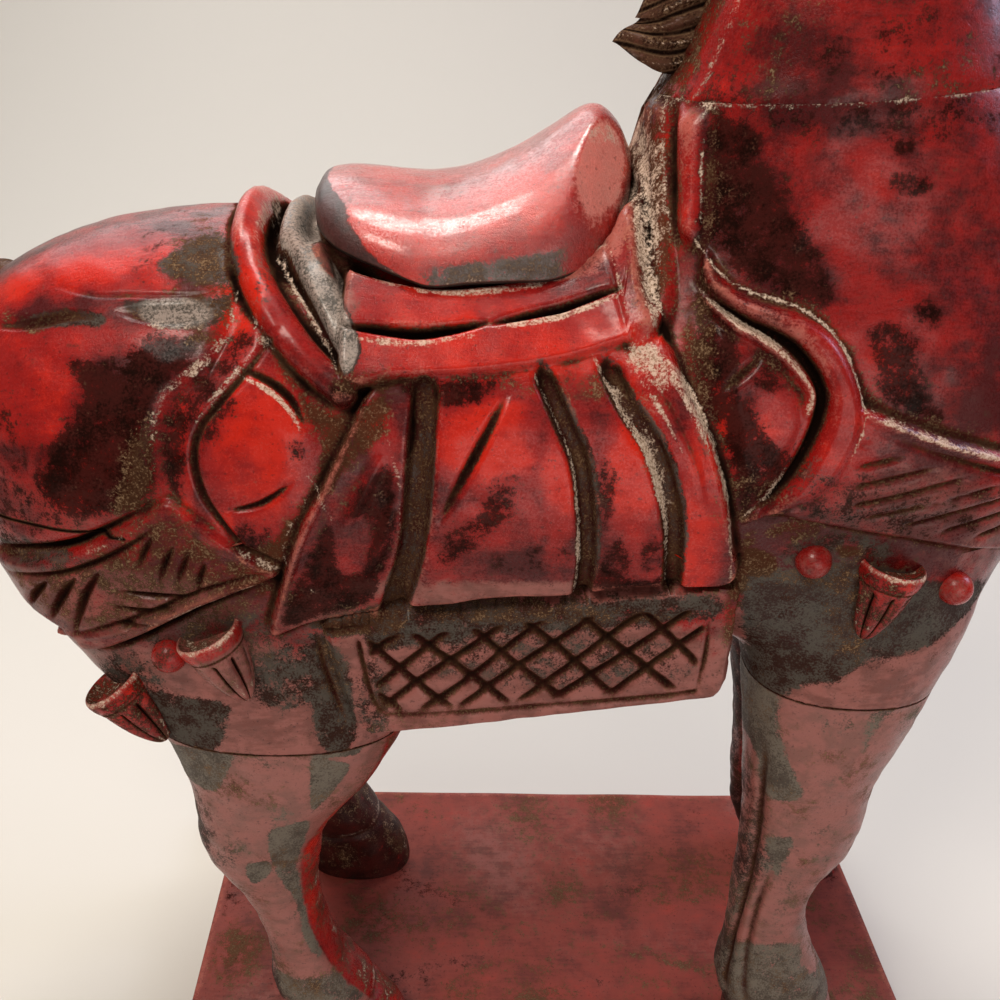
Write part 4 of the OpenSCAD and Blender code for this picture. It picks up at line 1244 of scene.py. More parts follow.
    # Pale strokes: bare wood and cream dirt, partly painted highlights on lit edges and groove walls
    pale: tuple = (
        # Painted highlight on the lit edge of the roll's crease
        Patch(((-64, 232), (-63.6, 206.5), (-61, 202.4), (-57, 197.4), (-52.4, 192), (-48.4, 187.6),
               (-49.6, 191), (-54, 197), (-58, 202), (-61.4, 207), (-61.6, 232)), 0.85, 0.9),
        Welt(((-47, 192.6), (-42, 192.2), (-36, 191.9), (-27, 193.2)), 0.55, 0.8, 0.3),
        Welt(((-23.4, 194.2), (-13, 196), (-4, 199.6)), 0.6, 0.85, 0.3),
        Welt(((-5.3, 205), (-3.6, 199), (-2, 195)), 0.5, 0.6, 0.5),
        Welt(((-46.5, 200.4), (-35, 198.4), (-23, 198.6), (-13, 200.7), (-6, 205.4)), 0.6, 0.75, 0.2),
        Welt(((-17.3, 188), (-13.6, 182), (-10.9, 176), (-9.4, 168), (-8.5, 159), (-8.4, 150)),
             0.5, 0.85, 0.3),
        Welt(((-8.2, 191), (-4, 185), (0.7, 179), (3.6, 172), (5.5, 164), (6.9, 154)), 0.6, 0.9, 0.3),
        Welt(((-6, 188.4), (-3.2, 184.4), (1, 179), (3.9, 172), (5.7, 165)), 1.5, 1.35, 0.6),
        Patch(((-3.4, 191.6), (0.6, 194), (4, 190), (2.6, 187), (-0.6, 188.6)), 0.85, 1.4),
        Welt(((-3, 190.5), (2.4, 184.5), (6.6, 178)), 0.5, 0.75, 0.6),
        Welt(((0.5, 194), (5.5, 188), (9.6, 182), (12.6, 176)), 1.3, 0.85, 0.6),
        Welt(((9.6, 182), (13.4, 174), (15.8, 165), (17.6, 155)), 0.6, 0.75, 0.4),
        Stain(0.6, 212, 3.2, 17, 0.5),
        Welt(((-2.8, 229), (-1.8, 216), (-0.6, 208), (1.6, 197)), 1.5, 0.9),
        Welt(((0.3, 228), (0.6, 214), (2.4, 203)), 0.8, 0.85, 0.3),
        Welt(((3.0, 226), (3.4, 214), (4, 208)), 0.7, 0.7, 0.3),
        Welt(((7.6, 226), (7.9, 214), (7.6, 207)), 0.5, 0.6, 0.3),
        Welt(((8.3, 200.9), (13, 197.6), (20, 194.3), (25.4, 189), (25.6, 185)), 0.6, 1.0, 0.4),
        Welt(((8, 207), (13, 202.4), (23, 200), (29, 196.2), (33, 189.2), (34, 184), (32.6, 178)),
             0.4, 0.9, 0.3),
        Welt(((24.4, 178), (22, 172.5), (18.2, 167)), 0.7, 0.7, 0.5),
        Welt(((34.4, 186), (43, 183), (53, 180), (66, 176.6)), 0.6, 0.9, 0.2),
        Welt(((-63, 186), (-59, 184.4), (-55.6, 181.6), (-53.4, 178)), 0.55, 1.0, 0.5),
        Welt(((-58.6, 192.4), (-62.4, 187.8), (-67, 182.8), (-70, 178.6)), 0.6, 0.55, 0.4),
        Welt(((-65, 196), (-65.3, 192.7), (-66.8, 189.4), (-69.8, 186.6), (-73.4, 184), (-75.4, 181.8),
              (-76.6, 178.4), (-77.2, 174.7)), 1.0, 0.62, 0.5),
        Welt(((-64, 158), (-58, 154.4)), 0.6, 0.7, 0.5),
        Welt(((-80, 192), (-74, 191.8), (-68, 192)), 0.8, 0.55, 0.5),
        Welt(((-62, 196), (-59, 190), (-57.5, 188)), 1.4, 0.55, 0.7),
        Welt(((-79, 162), (-87, 156.8), (-95, 152.6)), 0.5, 0.55, 0.6),
        Welt(((-60, 152), (-72, 146.3), (-84, 140.2)), 0.5, 0.6, 0.6),
        Welt(((-47, 161), (-50, 167), (-53, 172)), 0.5, 0.5, 0.6),
        Welt(((-40, 178), (-38, 170), (-38, 160)), 0.5, 0.45, 0.6),
        Welt(((-52, 150), (-57, 158), (-51, 171)), 0.5, 0.5, 0.6),
    )
    lattice_border: Path = ((-45, 139.5), (-43.4, 130), (-41.5, 124.6), (-37, 123.2), (-17, 125.2),
                            (7, 128.4), (15.6, 130))
    lattice_side: Path = ((15.6, 147), (16.2, 139), (15.8, 129.6))
    lattice_area: Path = ((-44.5, 141), (-42, 124.8), (-37, 123.4), (15.6, 130.2), (16, 149), (-10, 146),
                          (-30, 143))
    lattice_z: float = 135.0
    lattice_slopes: tuple = ((-1.1, (-50, -39, -28, -16.5, -6, 6, 17)),
                             (1.05, (-45, -37, -30, -23, -16.5, -8, -1.5, 6)))
    hatch_area: Path = ((33, 183), (48, 178), (60, 174.6), (84, 168), (84, 155), (66, 160.4), (48, 164.6),
                        (34, 167.4))
    hatch_slope: float = 0.27
    hatch_z: float = 150.6
    hatch_rise: float = 3.5
    hatch_gap: float = 3.4

    def height(self, p: Array, way: Array, face: Array) -> tuple[Array, Array, Array]:
        """Height of the carving over the smooth body; outlines are read where the raised surface lies.

        Args:
            p: Points of the smooth body.
            way: Its outward directions.
            face: How much each point belongs to a lattice flap, 0 to 1.

        Returns:
            Height to add, depth of the grooves in it and the raised points.
        """
        flat = 1 - face
        parts = []
        for items in (self.bands + self.welts, self.swells):
            high = np.zeros(face.shape)
            for item in items:
                place = p + item.height * way
                high = np.maximum(high, item.at(place[..., 0], place[..., 2]))
            parts.append(high * flat)
        raised = parts[0] + parts[1]
        top = p + raised[..., None] * way
        x, z = top[..., 0], top[..., 2]
        cut = np.maximum(highest(self.cuts, x, z), self.hatching(x, z)) * flat
        cut = np.maximum(cut, self.lattice(x, z) * face)
        return raised - cut, cut, top

    def lattice(self, x: Array, z: Array) -> Array:
        """Crossed grooves of the flap inside a bordering groove.

        Args:
            x: Places along X.
            z: Places along Z.

        Returns:
            Depths of the grooves.
        """
        border = rounded(self.lattice_border, False)
        rim = np.maximum(Cut(tuple(map(tuple, border[::3])), 0.75, 1.1, level=True).at(x, z),
                         Cut(self.lattice_side, 0.7, 1.1).at(x, z))
        area = inside(np.asarray(self.lattice_area), x, z)
        rays = [(slope, start) for slope, starts in self.lattice_slopes for start in starts]
        lines = np.zeros(x.shape)
        for k, (slope, start) in enumerate(rays):
            wave = 0.5 * np.sin(0.21 * x + 1.7 * k)
            d = np.abs(x - start - slope * (z - self.lattice_z) + wave) / math.hypot(1, slope)
            lines = np.maximum(lines, 1.25 * step(0, 1, 1 - d / 1.2))
        return np.maximum(rim, lines * step(0.2, 1.4, area))

    def hatching(self, x: Array, z: Array) -> Array:
        """Slanting grooves on the breast strap.

        Args:
            x: Places along X.
            z: Places along Z.

        Returns:
            Depths of the grooves.
        """
        area = inside(np.asarray(self.hatch_area), x, z)
        c = (z - self.hatch_slope * x - self.hatch_z) / self.hatch_rise
        d = np.abs(c - np.round(c)) * self.hatch_gap
        return step(0, 1, 1 - d / 0.7) * step(0.2, 2.2, area)

    def layers(self, p: Array, relief: Array, cut: Array) -> Layers:
        """Patina, carve and wear layers of a grid of points.

        Args:
            p: Points of the grid.
            relief: Height of the carving.
            cut: Depth of the grooves.

        Returns:
            The three colour layers.
        """
        x, z = p[..., 0], p[..., 2]
        # Creases and grooves darken: partly dirt, partly painted shade lines at the foot of the bands
        fold = relief - soften(relief, 20)
        fine = relief - soften(relief, 3)
        hollow = np.clip(np.maximum(0.5 * np.clip(cut * 1.2, 0, 1) + 0.13 * cut, -fold * 0.9), 0, 1)
        # Edges: worn lacquer, partly painted highlights along the ridges
        edge = np.clip(np.maximum(fine * 2.0, fold * 0.6) - 0.12, 0, 0.8)
        slate = highest(self.slate, x, z)
        hollow = hollow * (1 - 0.6 * np.clip(slate, 0, 1) * step(1.2, 2.0, cut))
        # Below about z 150 the body turns rose: faded lacquer, partly a painted reflection of the pale floor
        low = 1 - step(128, 150, z)
        dark = np.maximum(highest(self.dark, x, z), 0.7 * np.clip(-fold, 0, 1))
        dirt = np.maximum(highest(self.dirt, x, z), 0.7 * np.clip(-soften(fold, 8) * 2.0, 0, 1))
        rose = np.maximum(highest(self.rose, x, z), 0.8 * low)
        shine = highest(self.bright, x, z)
        pale = highest(self.pale, x, z) * (1 - 0.6 * np.clip(cut - 1, 0, 1))
        gloss = np.maximum(0.6 * shine, highest(self.polish, x, z))
        return {"patina": np.stack([dark, dirt, rose], -1),
                "carve": np.stack([soften(hollow, 1), soften(edge, 2), shine], -1),
                "wear": np.stack([slate, pale, gloss], -1)}


@dataclass
class Piece:
    """A piece of the object: its name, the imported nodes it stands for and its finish."""

    name: str = ""
    nodes: tuple[str, ...] = ()
    slot: str = "red_lacquer"
    look: str = ""

    def build(self) -> bpy.types.Object:
        """Makes the piece's object."""
        raise NotImplementedError

    def dress(self, finish: bpy.types.Material) -> bpy.types.Object:
        """Builds the piece, gives it its finish and puts it on the body.

        Args:
            finish: Material of the piece.

        Returns:
            The object.
        """
        piece = self.build()
        piece.data.materials.append(finish)
        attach(piece, "root")
        if self.nodes:
            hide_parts(*self.nodes)
        LOG.info("%s: %d faces", piece.name, len(piece.data.polygons))
        return piece


@dataclass
class TrunkBlock(Piece):
    """Half of the trunk: radial surface of the body field round a line along the level glue line.

    Each point is the outermost root of the field along a ray square to that line, moved along the
    field's slope by the height of the carving.
    """

    half: Half = Half.UPPER
    body: BodyForm = field(default_factory=BodyForm)
    harness: Harness = field(default_factory=Harness)
    start: float = -121.3
    spans: tuple = ((-105.0, 14), (-74.0, 78), (34.0, 302), (70.0, 80), (86.6, 20))
    near_counts: tuple[int, int, int] = (86, 34, 34)
    far_counts: tuple[int, int, int] = (26, 14, 20)
    knots: tuple[float, float] = (40.0, 60.0)
    dome: int = 8
    bulge: tuple[float, float] = (0.5, 1.0)
    seam_round: float = 0.25
    reach: float = 99.0
    march: float = 3.0
    fore_from: float = 25.0
    hind_to: float = -40.0

    def by_leg(self, x: Array, fore: Array, hind: Array, between: float) -> Array:
        """Picks a value by the place along the trunk: over the fore legs, over the hind legs or between."""
        return np.where(x > self.fore_from, fore, np.where(x < self.hind_to, hind, between))

    def whole(self, p: Array) -> Array:
        """Field of the body cut by the glue lines of the neck and legs.

        Args:
            p: Points.

        Returns:
            Distances, negative inside.
        """
        b = self.body
        d = b.field(p)
        if self.half is Half.UPPER:
            return blend_max(d, b.to_seam(p)[1], self.seam_round)
        floor = self.by_leg(p[..., 0], b.board_z + b.fore_seam, b.board_z + b.hind_seam, 100.0)
        return blend_max(d, floor - p[..., 2], self.seam_round)

    def rays(self, x: Array, angle: Array) -> tuple[Array, Array]:
        """Points of the smooth surface and its outward directions for a grid of places and angles.

        Args:
            x: Places along the trunk.
            angle: Angles, a column for each place.

        Returns:
            Points and directions.
        """
        way = np.stack([np.zeros(angle.shape), -np.cos(angle), self.half.value * np.sin(angle)], -1)
        base = np.stack([x, np.zeros(x.shape), np.full(x.shape, self.body.split_z)], -1)[None, :, :]
        outer = np.zeros(angle.shape)
        found = np.zeros(outer.shape, bool)
        for r in np.arange(self.reach, 0, -self.march):
            hit = ~found & (self.whole(base + r * way) < 0)
            outer[hit] = r
            found |= hit
        low, high = outer, outer + self.march
        for _ in range(11):
            middle = (low + high) / 2
            within = self.whole(base + middle[..., None] * way) < 0
            low, high = np.where(within, middle, low), np.where(within, high, middle)
        p = base + low[..., None] * way
        here = self.body.field(p)
        slope = np.stack([self.body.field(p + 0.3 * np.eye(3)[k]) - here for k in range(3)], -1)
        return p, slope / np.maximum(np.linalg.norm(slope, axis=-1, keepdims=True), 1e-6)

    def angles(self, x: Array, counts: tuple[int, int, int]) -> Array:
        """Angles of the rows from the glue line to the middle; one follows the flap's or the neck's edge.

        Args:
            x: Places along the trunk.
            counts: Rows between the knots.

        Returns:
            Angles, a column for each place.
        """
        knots = np.radians((0.0,) + self.knots + (90.0,))
        parts = [np.linspace(a, b, n, endpoint=False) for a, b, n in zip(knots[:-1], knots[1:], counts)]
        base = np.concatenate(parts + [knots[-1:]])[:, None] + 0 * x
        at = knots[2] if self.half is Half.UPPER else knots[1]
        edge = self.body.neck_edge(x, at) if self.half is Half.UPPER else self.body.flap_edge(x)
        beyond = edge + (base - at) * (knots[-1] - edge) / (knots[-1] - at)
        return np.where(base < at, base * edge / at, beyond)

    def carve(self, p: Array, way: Array) -> tuple[Array, Layers]:
        """Moves the smooth surface by the carving and works out its colour layers.

        Args:
            p: Points of the smooth surface.
            way: Its outward directions.

        Returns:
            Carved points and their colour layers.
        """
        b, sign = self.body, self.half.value
        x, z = p[..., 0], p[..., 2]
        face = step(-1.2, 0.2, -np.abs(b.flap_field(p))) * step(37.5, 39, np.abs(p[..., 1]))
        relief, cut, top = self.harness.height(p, way, face)
        if self.half is Half.UPPER:
            seam = -b.to_seam(p)[1]
        else:
            seam = self.by_leg(x, z - b.board_z - b.fore_seam, z - b.board_z - b.hind_seam, 9.0)
        knife = 0.18 * ripple(p, 26, 5) + 0.07 * ripple(p, 7, 8)
        relief = soften(relief, 1) * step(0.1, 1.0, seam) + knife * step(0, 4, seam)
        moved = p + relief[..., None] * way
        over = np.maximum(0, sign * (moved[..., 2] - b.split_z))
        line = np.abs(z - b.split_z)
        moved[..., 2] = b.split_z + sign * np.where(line < 1e-6, 0, over)
        if self.half is Half.UPPER:
            over = np.maximum(b.to_seam(moved)[1], 0)
            moved[..., 2] -= over
        layers = self.harness.layers(top, relief, cut)
        pale, hollow = layers["wear"][..., 1], layers["carve"][..., 0]
        if self.half is Half.UPPER:
            pale[...] = np.maximum(pale, 0.6 * (1 - step(0.05, 0.4, np.abs(seam))))
        else:
            hollow[...] = np.maximum(hollow, 0.5 * (1 - step(0.05, 0.35, np.abs(seam))))
        hollow[...] = np.maximum(hollow, 0.8 * (1 - step(0.1, 0.5, line)) * (x < -82))
        return moved, layers

    def closed_ends(self, grid: Array, skip: int) -> Array:
        """Adds the domed ends: sections shrunk towards the line, along a quarter wave.

        Args:
            grid: Points of one side.
            skip: Which rings of the dome are kept, such as every second.

        Returns:
            The grid with its ends.
        """
        t = np.linspace(0, math.pi / 2, self.dome + 1)[1:]
        t = t[(skip - 1)::skip] if skip > 1 else t
        shrink = np.maximum(np.cos(t), 0.02)
        parts = []
        for end, bulge in ((0, -self.bulge[0]), (-1, self.bulge[1])):
            ring = grid[:, [end]]
            mid = np.array([0.0, 0.0, self.body.split_z])
            dome = (ring - mid) * np.stack([np.ones(t.shape), shrink, shrink], -1)[None] + mid
            dome[..., 0] += bulge * np.sin(t)
            parts.append(dome[:, ::-1] if end == 0 else dome)
        return np.concatenate([parts[0], grid, parts[1]], 1)

    def build(self) -> bpy.types.Object:
        """Joins a fine near side to a far side with half as many columns.

        Returns:
            The object.
        """
        starts = (self.start,) + tuple(end for end, _ in self.spans[:-1])
        runs = [np.linspace(a, b, n, endpoint=False) for a, (b, n) in zip(starts, self.spans)]
        x = np.concatenate(runs + [[self.spans[-1][0]]])
        near_rows, far_rows = sum(self.near_counts) + 1, sum(self.far_counts)
        far_angles = math.pi - self.angles(x[::2], self.far_counts)[-2::-1]
        sides = (self.carve(*self.rays(x, self.angles(x, self.near_counts))),
                 self.carve(*self.rays(x[::2], far_angles)))
        grids = [self.closed_ends(p, skip) for (p, _), skip in zip(sides, (1, 2))]
        layers = {key: np.vstack([self.padded(made[key], grid) for (_, made), grid in zip(sides, grids)])
                  for key in sides[0][1]}
        wide, slim = (grid.shape[1] for grid in grids)
        start = near_rows * wide
        top = start - wide
        j = np.arange(slim - 1)
        strip = np.concatenate([np.stack([top + 2 * j, start + j, top + 2 * j + 1], 1),
                                np.stack([top + 2 * j + 1, start + j, start + j + 1], 1),
                                np.stack([top + 2 * j + 1, start + j + 1, top + 2 * j + 2], 1)])
        quads = np.vstack([grid_faces(near_rows, wide), grid_faces(far_rows, slim) + start])
        last = start + (far_rows - 1) * slim
        ring = np.concatenate([np.arange(wide), np.arange(2, near_rows + 1) * wide - 1,
                               start + np.arange(1, far_rows + 1) * slim - 1,
                               np.arange(slim - 2, -1, -1) + last,
                               start + np.arange(far_rows - 2, -1, -1) * slim,
                               np.arange(near_rows - 1, 0, -1) * wide])
        points = np.vstack([grid.reshape(-1, 3) for grid in grids])
        return make_piece(self.name, points, quads, (ring,), layers, 50, strip)

    @staticmethod
    def padded(layer: Array, grid: Array) -> Array:
        """A colour layer carried on over the domed ends of its grid, as a list of points."""
        pad = (grid.shape[1] - layer.shape[1]) // 2
        return np.pad(layer, ((0, 0), (pad, pad), (0, 0)), "edge").reshape(-1, 3)


def even_layers(p: Array, dark: float, dirt: float, rose: float, hollow: Array, edge: Array,
                shine: float) -> Layers:
    """Patina, carve and wear layers with the same patina all over.

    Args:
        p: Points.
        dark: How dark the patina is.
        dirt: How dirty it is.
        rose: How dusty it is.
        hollow: Where the carving is hollow.
        edge: Where its edges are rubbed.
        shine: How bright the red is.

    Returns:
        The three colour layers.
    """
    whole = np.ones(p.shape[:-1])
    return {"patina": np.stack([whole * dark, whole * dirt, whole * rose], -1),
            "carve": np.stack([whole * hollow, whole * edge, whole * shine], -1),
            "wear": np.stack([whole * 0, whole * 0, whole * 0.75 * shine], -1)}


@dataclass
class Leg(Piece):
    """A leg below its glue line: rounded sections stacked by height, with carved hoof and tendons."""

    side: Side = Side.RIGHT
    hind: bool = False
    body: BodyForm = field(default_factory=BodyForm)
    levels: int = 220
    turns: int = 150
    tendons: tuple = (((153, 0.13, 1.3, 100), (123, 0.1, 1.1, 66)),
                      ((172, 0.12, 0.7, 84), (-148, 0.16, 0.8, 60)))
    joints: tuple[float, float] = (70.0, 66.0)
    fore_patches: tuple = (
        Patch(((26, 122), (32.6, 126), (35.1, 117), (37.7, 110.6), (42, 102.5), (39.8, 99.2), (35.9, 98.8),
               (33.6, 106), (30, 112)), 1.0, 1.2),
        Patch(((38, 86.7), (42.9, 89.5), (43.1, 83), (42.1, 76), (38.9, 82)), 0.85, 1.4),
        Patch(((36, 50), (50.3, 54.5), (55.5, 44), (62, 42), (62, 28), (36, 28)), 0.85, 1.8),
        Patch(((50.1, 132), (58.6, 131), (53.4, 120.4), (50.8, 114.4), (50, 123.5)), 0.66, 2.0),
        *stains(((36.5, 70, 2.2, 26, 0.6), (46, 66, 3, 14, 0.4), (50, 84, 4, 7, 0.36))),
    )
    hind_patches: tuple = (
        Patch(((-82, 110), (-69.3, 112.5), (-70.5, 106.6), (-72.5, 102), (-75, 100.4), (-82, 101)),
              1.0, 0.8),
        Patch(((-53.7, 116), (-46, 115), (-45.4, 111), (-51.5, 110.7), (-47.3, 108.2), (-50.4, 102),
               (-54.4, 96.8), (-55, 100)), 1.05, 0.7),
        Patch(((-63, 91.8), (-56.1, 93.9), (-56.4, 89), (-59, 79.8), (-63.4, 80.2), (-63.9, 87)),
              1.05, 0.7),
        Patch(((-68.7, 80.5), (-64.3, 82), (-64.3, 77.8), (-67.4, 74.5), (-68.9, 76)), 1.05, 0.7),
        Patch(((-63.5, 78.6), (-59.1, 78.9), (-57.4, 60.6), (-54.5, 51), (-56, 48.8), (-58.5, 55.2),
               (-60.1, 67.3)), 0.9, 0.8),
        Patch(((-66, 44), (-52.4, 43), (-44, 40), (-44, 33), (-57.9, 35), (-66, 36)), 0.8, 1.4),
    )

    @property
    def seam(self) -> float:
        """Height of the leg's glue line above the board."""
        return self.body.hind_seam if self.hind else self.body.fore_seam

    @property
    def stride(self) -> float:
        """How far the hoof stands ahead of the one on the right.

        Returns:
            The distance, which is 0 on the right.
        """
        if self.side is Side.RIGHT:
            return 0.0
        return self.body.hind_stride if self.hind else self.body.fore_stride

    def build(self) -> bpy.types.Object:
        """Makes the stack of sections.

        Returns:
            The object.
        """
        b = self.body
        rows, stand = (b.hind, b.hind_x) if self.hind else (b.fore, b.fore_x)
        h = np.linspace(0, self.seam, self.levels)[:, None]
        turn = circle(self.turns)
        x, y, a, w = b.leg_box(rows, h, stand, np.full(h.shape, self.stride))
        c, s = oval(turn, b.leg_power)
        p = np.stack([x + a * c, y + w * s, b.board_z + h + 0 * turn], -1)
        level = np.zeros((self.levels, self.turns))
        out = np.stack([w * np.cos(turn) * np.ones(h.shape), a * np.sin(turn), level], -1)
        out /= np.linalg.norm(out, axis=-1, keepdims=True)
        relief, cut = self.relief(h, turn)
        relief += 0.25 * ripple(p, 19, 3) + 0.1 * ripple(p, 6, 4)
        p = p + (relief * step(0, 1.5, self.seam - h) * step(-0.5, 1.0, h))[..., None] * out
        p[..., 1] *= self.side.value
        return make_tube(self.name, p, self.layers(p, h, turn, relief, cut), 45)

    def layers(self, p: Array, h: Array, turn: Array, relief: Array, cut: Array) -> Layers:
        """Patina, carve and wear layers: grey patches over rose, which partly paints the pale floor's
        reflection, and the inner side bright red; the rear faces and the far legs are darkened as painted
        shade.

        Args:
            p: Points of the leg.
            h: Heights above the board.
            turn: Angles round the leg.
            relief: Height of the carving.
            cut: Depth of the grooves.

        Returns:
            The three colour layers.
        """
        whole = np.ones(p.shape[:-1])
        front = np.cos(turn)
        # grooves and creases darken: partly dirt, partly painted shade
        fold = relief - soften(relief, 8)
        hollow = np.clip(np.maximum(cut * 0.34, -fold * 0.7), 0, 1)
        hollow = np.maximum(hollow, 0.4 * (1 - step(0.05, 0.3, self.seam - h)))
        edge = np.clip(2.2 * (relief - soften(relief, 3)) - 0.1, 0, 1)
        inner = 0 * whole
        if self.hind:
            wide = np.interp(h, (0, 40, 70, 90, 110), (0.3, 0.72, 0.66, 0.5, 0.6))
            inner = step(-wide - 0.1, -wide + 0.1, -np.sin(turn)) * step(-0.1, 0.5, front) * whole
        inner = np.maximum(inner, step(0.25, 0.8, -np.sin(turn)))
        back = step(0.45, 0.95, -front) * whole
        patches = self.hind_patches if self.hind else self.fore_patches
        grey = highest(patches, p[..., 0] - self.stride, p[..., 2]) * (1 - inner)
        slate = np.maximum(grey, 0.08 + 0.24 * ripple(p, 17, 11))
        # The hooves are darker; the rear faces are darkened below about h 90 as painted shade
        dark = 0.06 + 0.2 * ripple(p, 30, 13) + 0.3 * (1 - step(6, 22, h))
        dark = np.clip(dark + 0.5 * back * (1 - step(80, 104, h)), 0, 0.8)
        # The far legs are darkened as painted shade, the far hind hoof most
        if self.side is Side.LEFT:
            dark = np.clip(dark + 0.24 + (0.7 * (1 - step(20, 46, h)) if self.hind else 0), 0, 1.1)
        # rose over all but the inner side: faded lacquer, partly a painted reflection of the pale floor
        rose = np.clip(0.95 - 0.9 * inner, 0, 1)
        pale = 0.42 * (1 - step(0.3, 1.1, np.abs(h - 16.6 - 1.5 * front)))
        pale = pale + 0.3 * step(0.9, 1, front) * (1 - step(60, 80, h))
        dirt = 0.2 + 0.2 * ripple(p, 14, 12) + 0.25 * step(0.7, 0.98, front)
        return {"patina": np.stack([dark, dirt * whole, rose], -1),
                "carve": np.stack([hollow, edge, 0.75 * inner], -1),
                "wear": np.stack([slate, pale * whole, 0 * whole], -1)}

    def relief(self, h: Array, turn: Array) -> tuple[Array, Array]:
        """Carving of a leg: hoof line, fetlock, knee or hock, and tendon grooves along it.

        Args:
            h: Heights above the board.
            turn: Angles round the leg.

        Returns:
            Height of the carving and depth of its grooves.
        """
        tendon = np.zeros((h + turn).shape)
        for at, wide, deep, top in self.tendons[self.hind]:
            off = np.angle(np.exp(1j * (turn - math.radians(at) - 0.06 * np.sin(h / 17))))
            ends = step(15, 26, h) * (1 - step(top - 16, top + 6, h))
            tendon = np.maximum(tendon, deep * np.exp(-((off / wide) ** 2)) * ends)
        front = np.exp(-((np.angle(np.exp(1j * turn)) / 0.7) ** 2))
        crown = 0.7 * np.exp(-((h - 15.5 - 1.5 * np.cos(turn)) / 0.9) ** 2)
        knee = 0.9 * np.exp(-((h - self.joints[self.hind]) / 9) ** 2) * front
        knee = knee + 1.2 * np.exp(-((h - 23) / 6) ** 2) * (0.4 + 0.6 * (1 - front))
        cut = np.maximum(tendon, crown)
        return knee - cut, cut


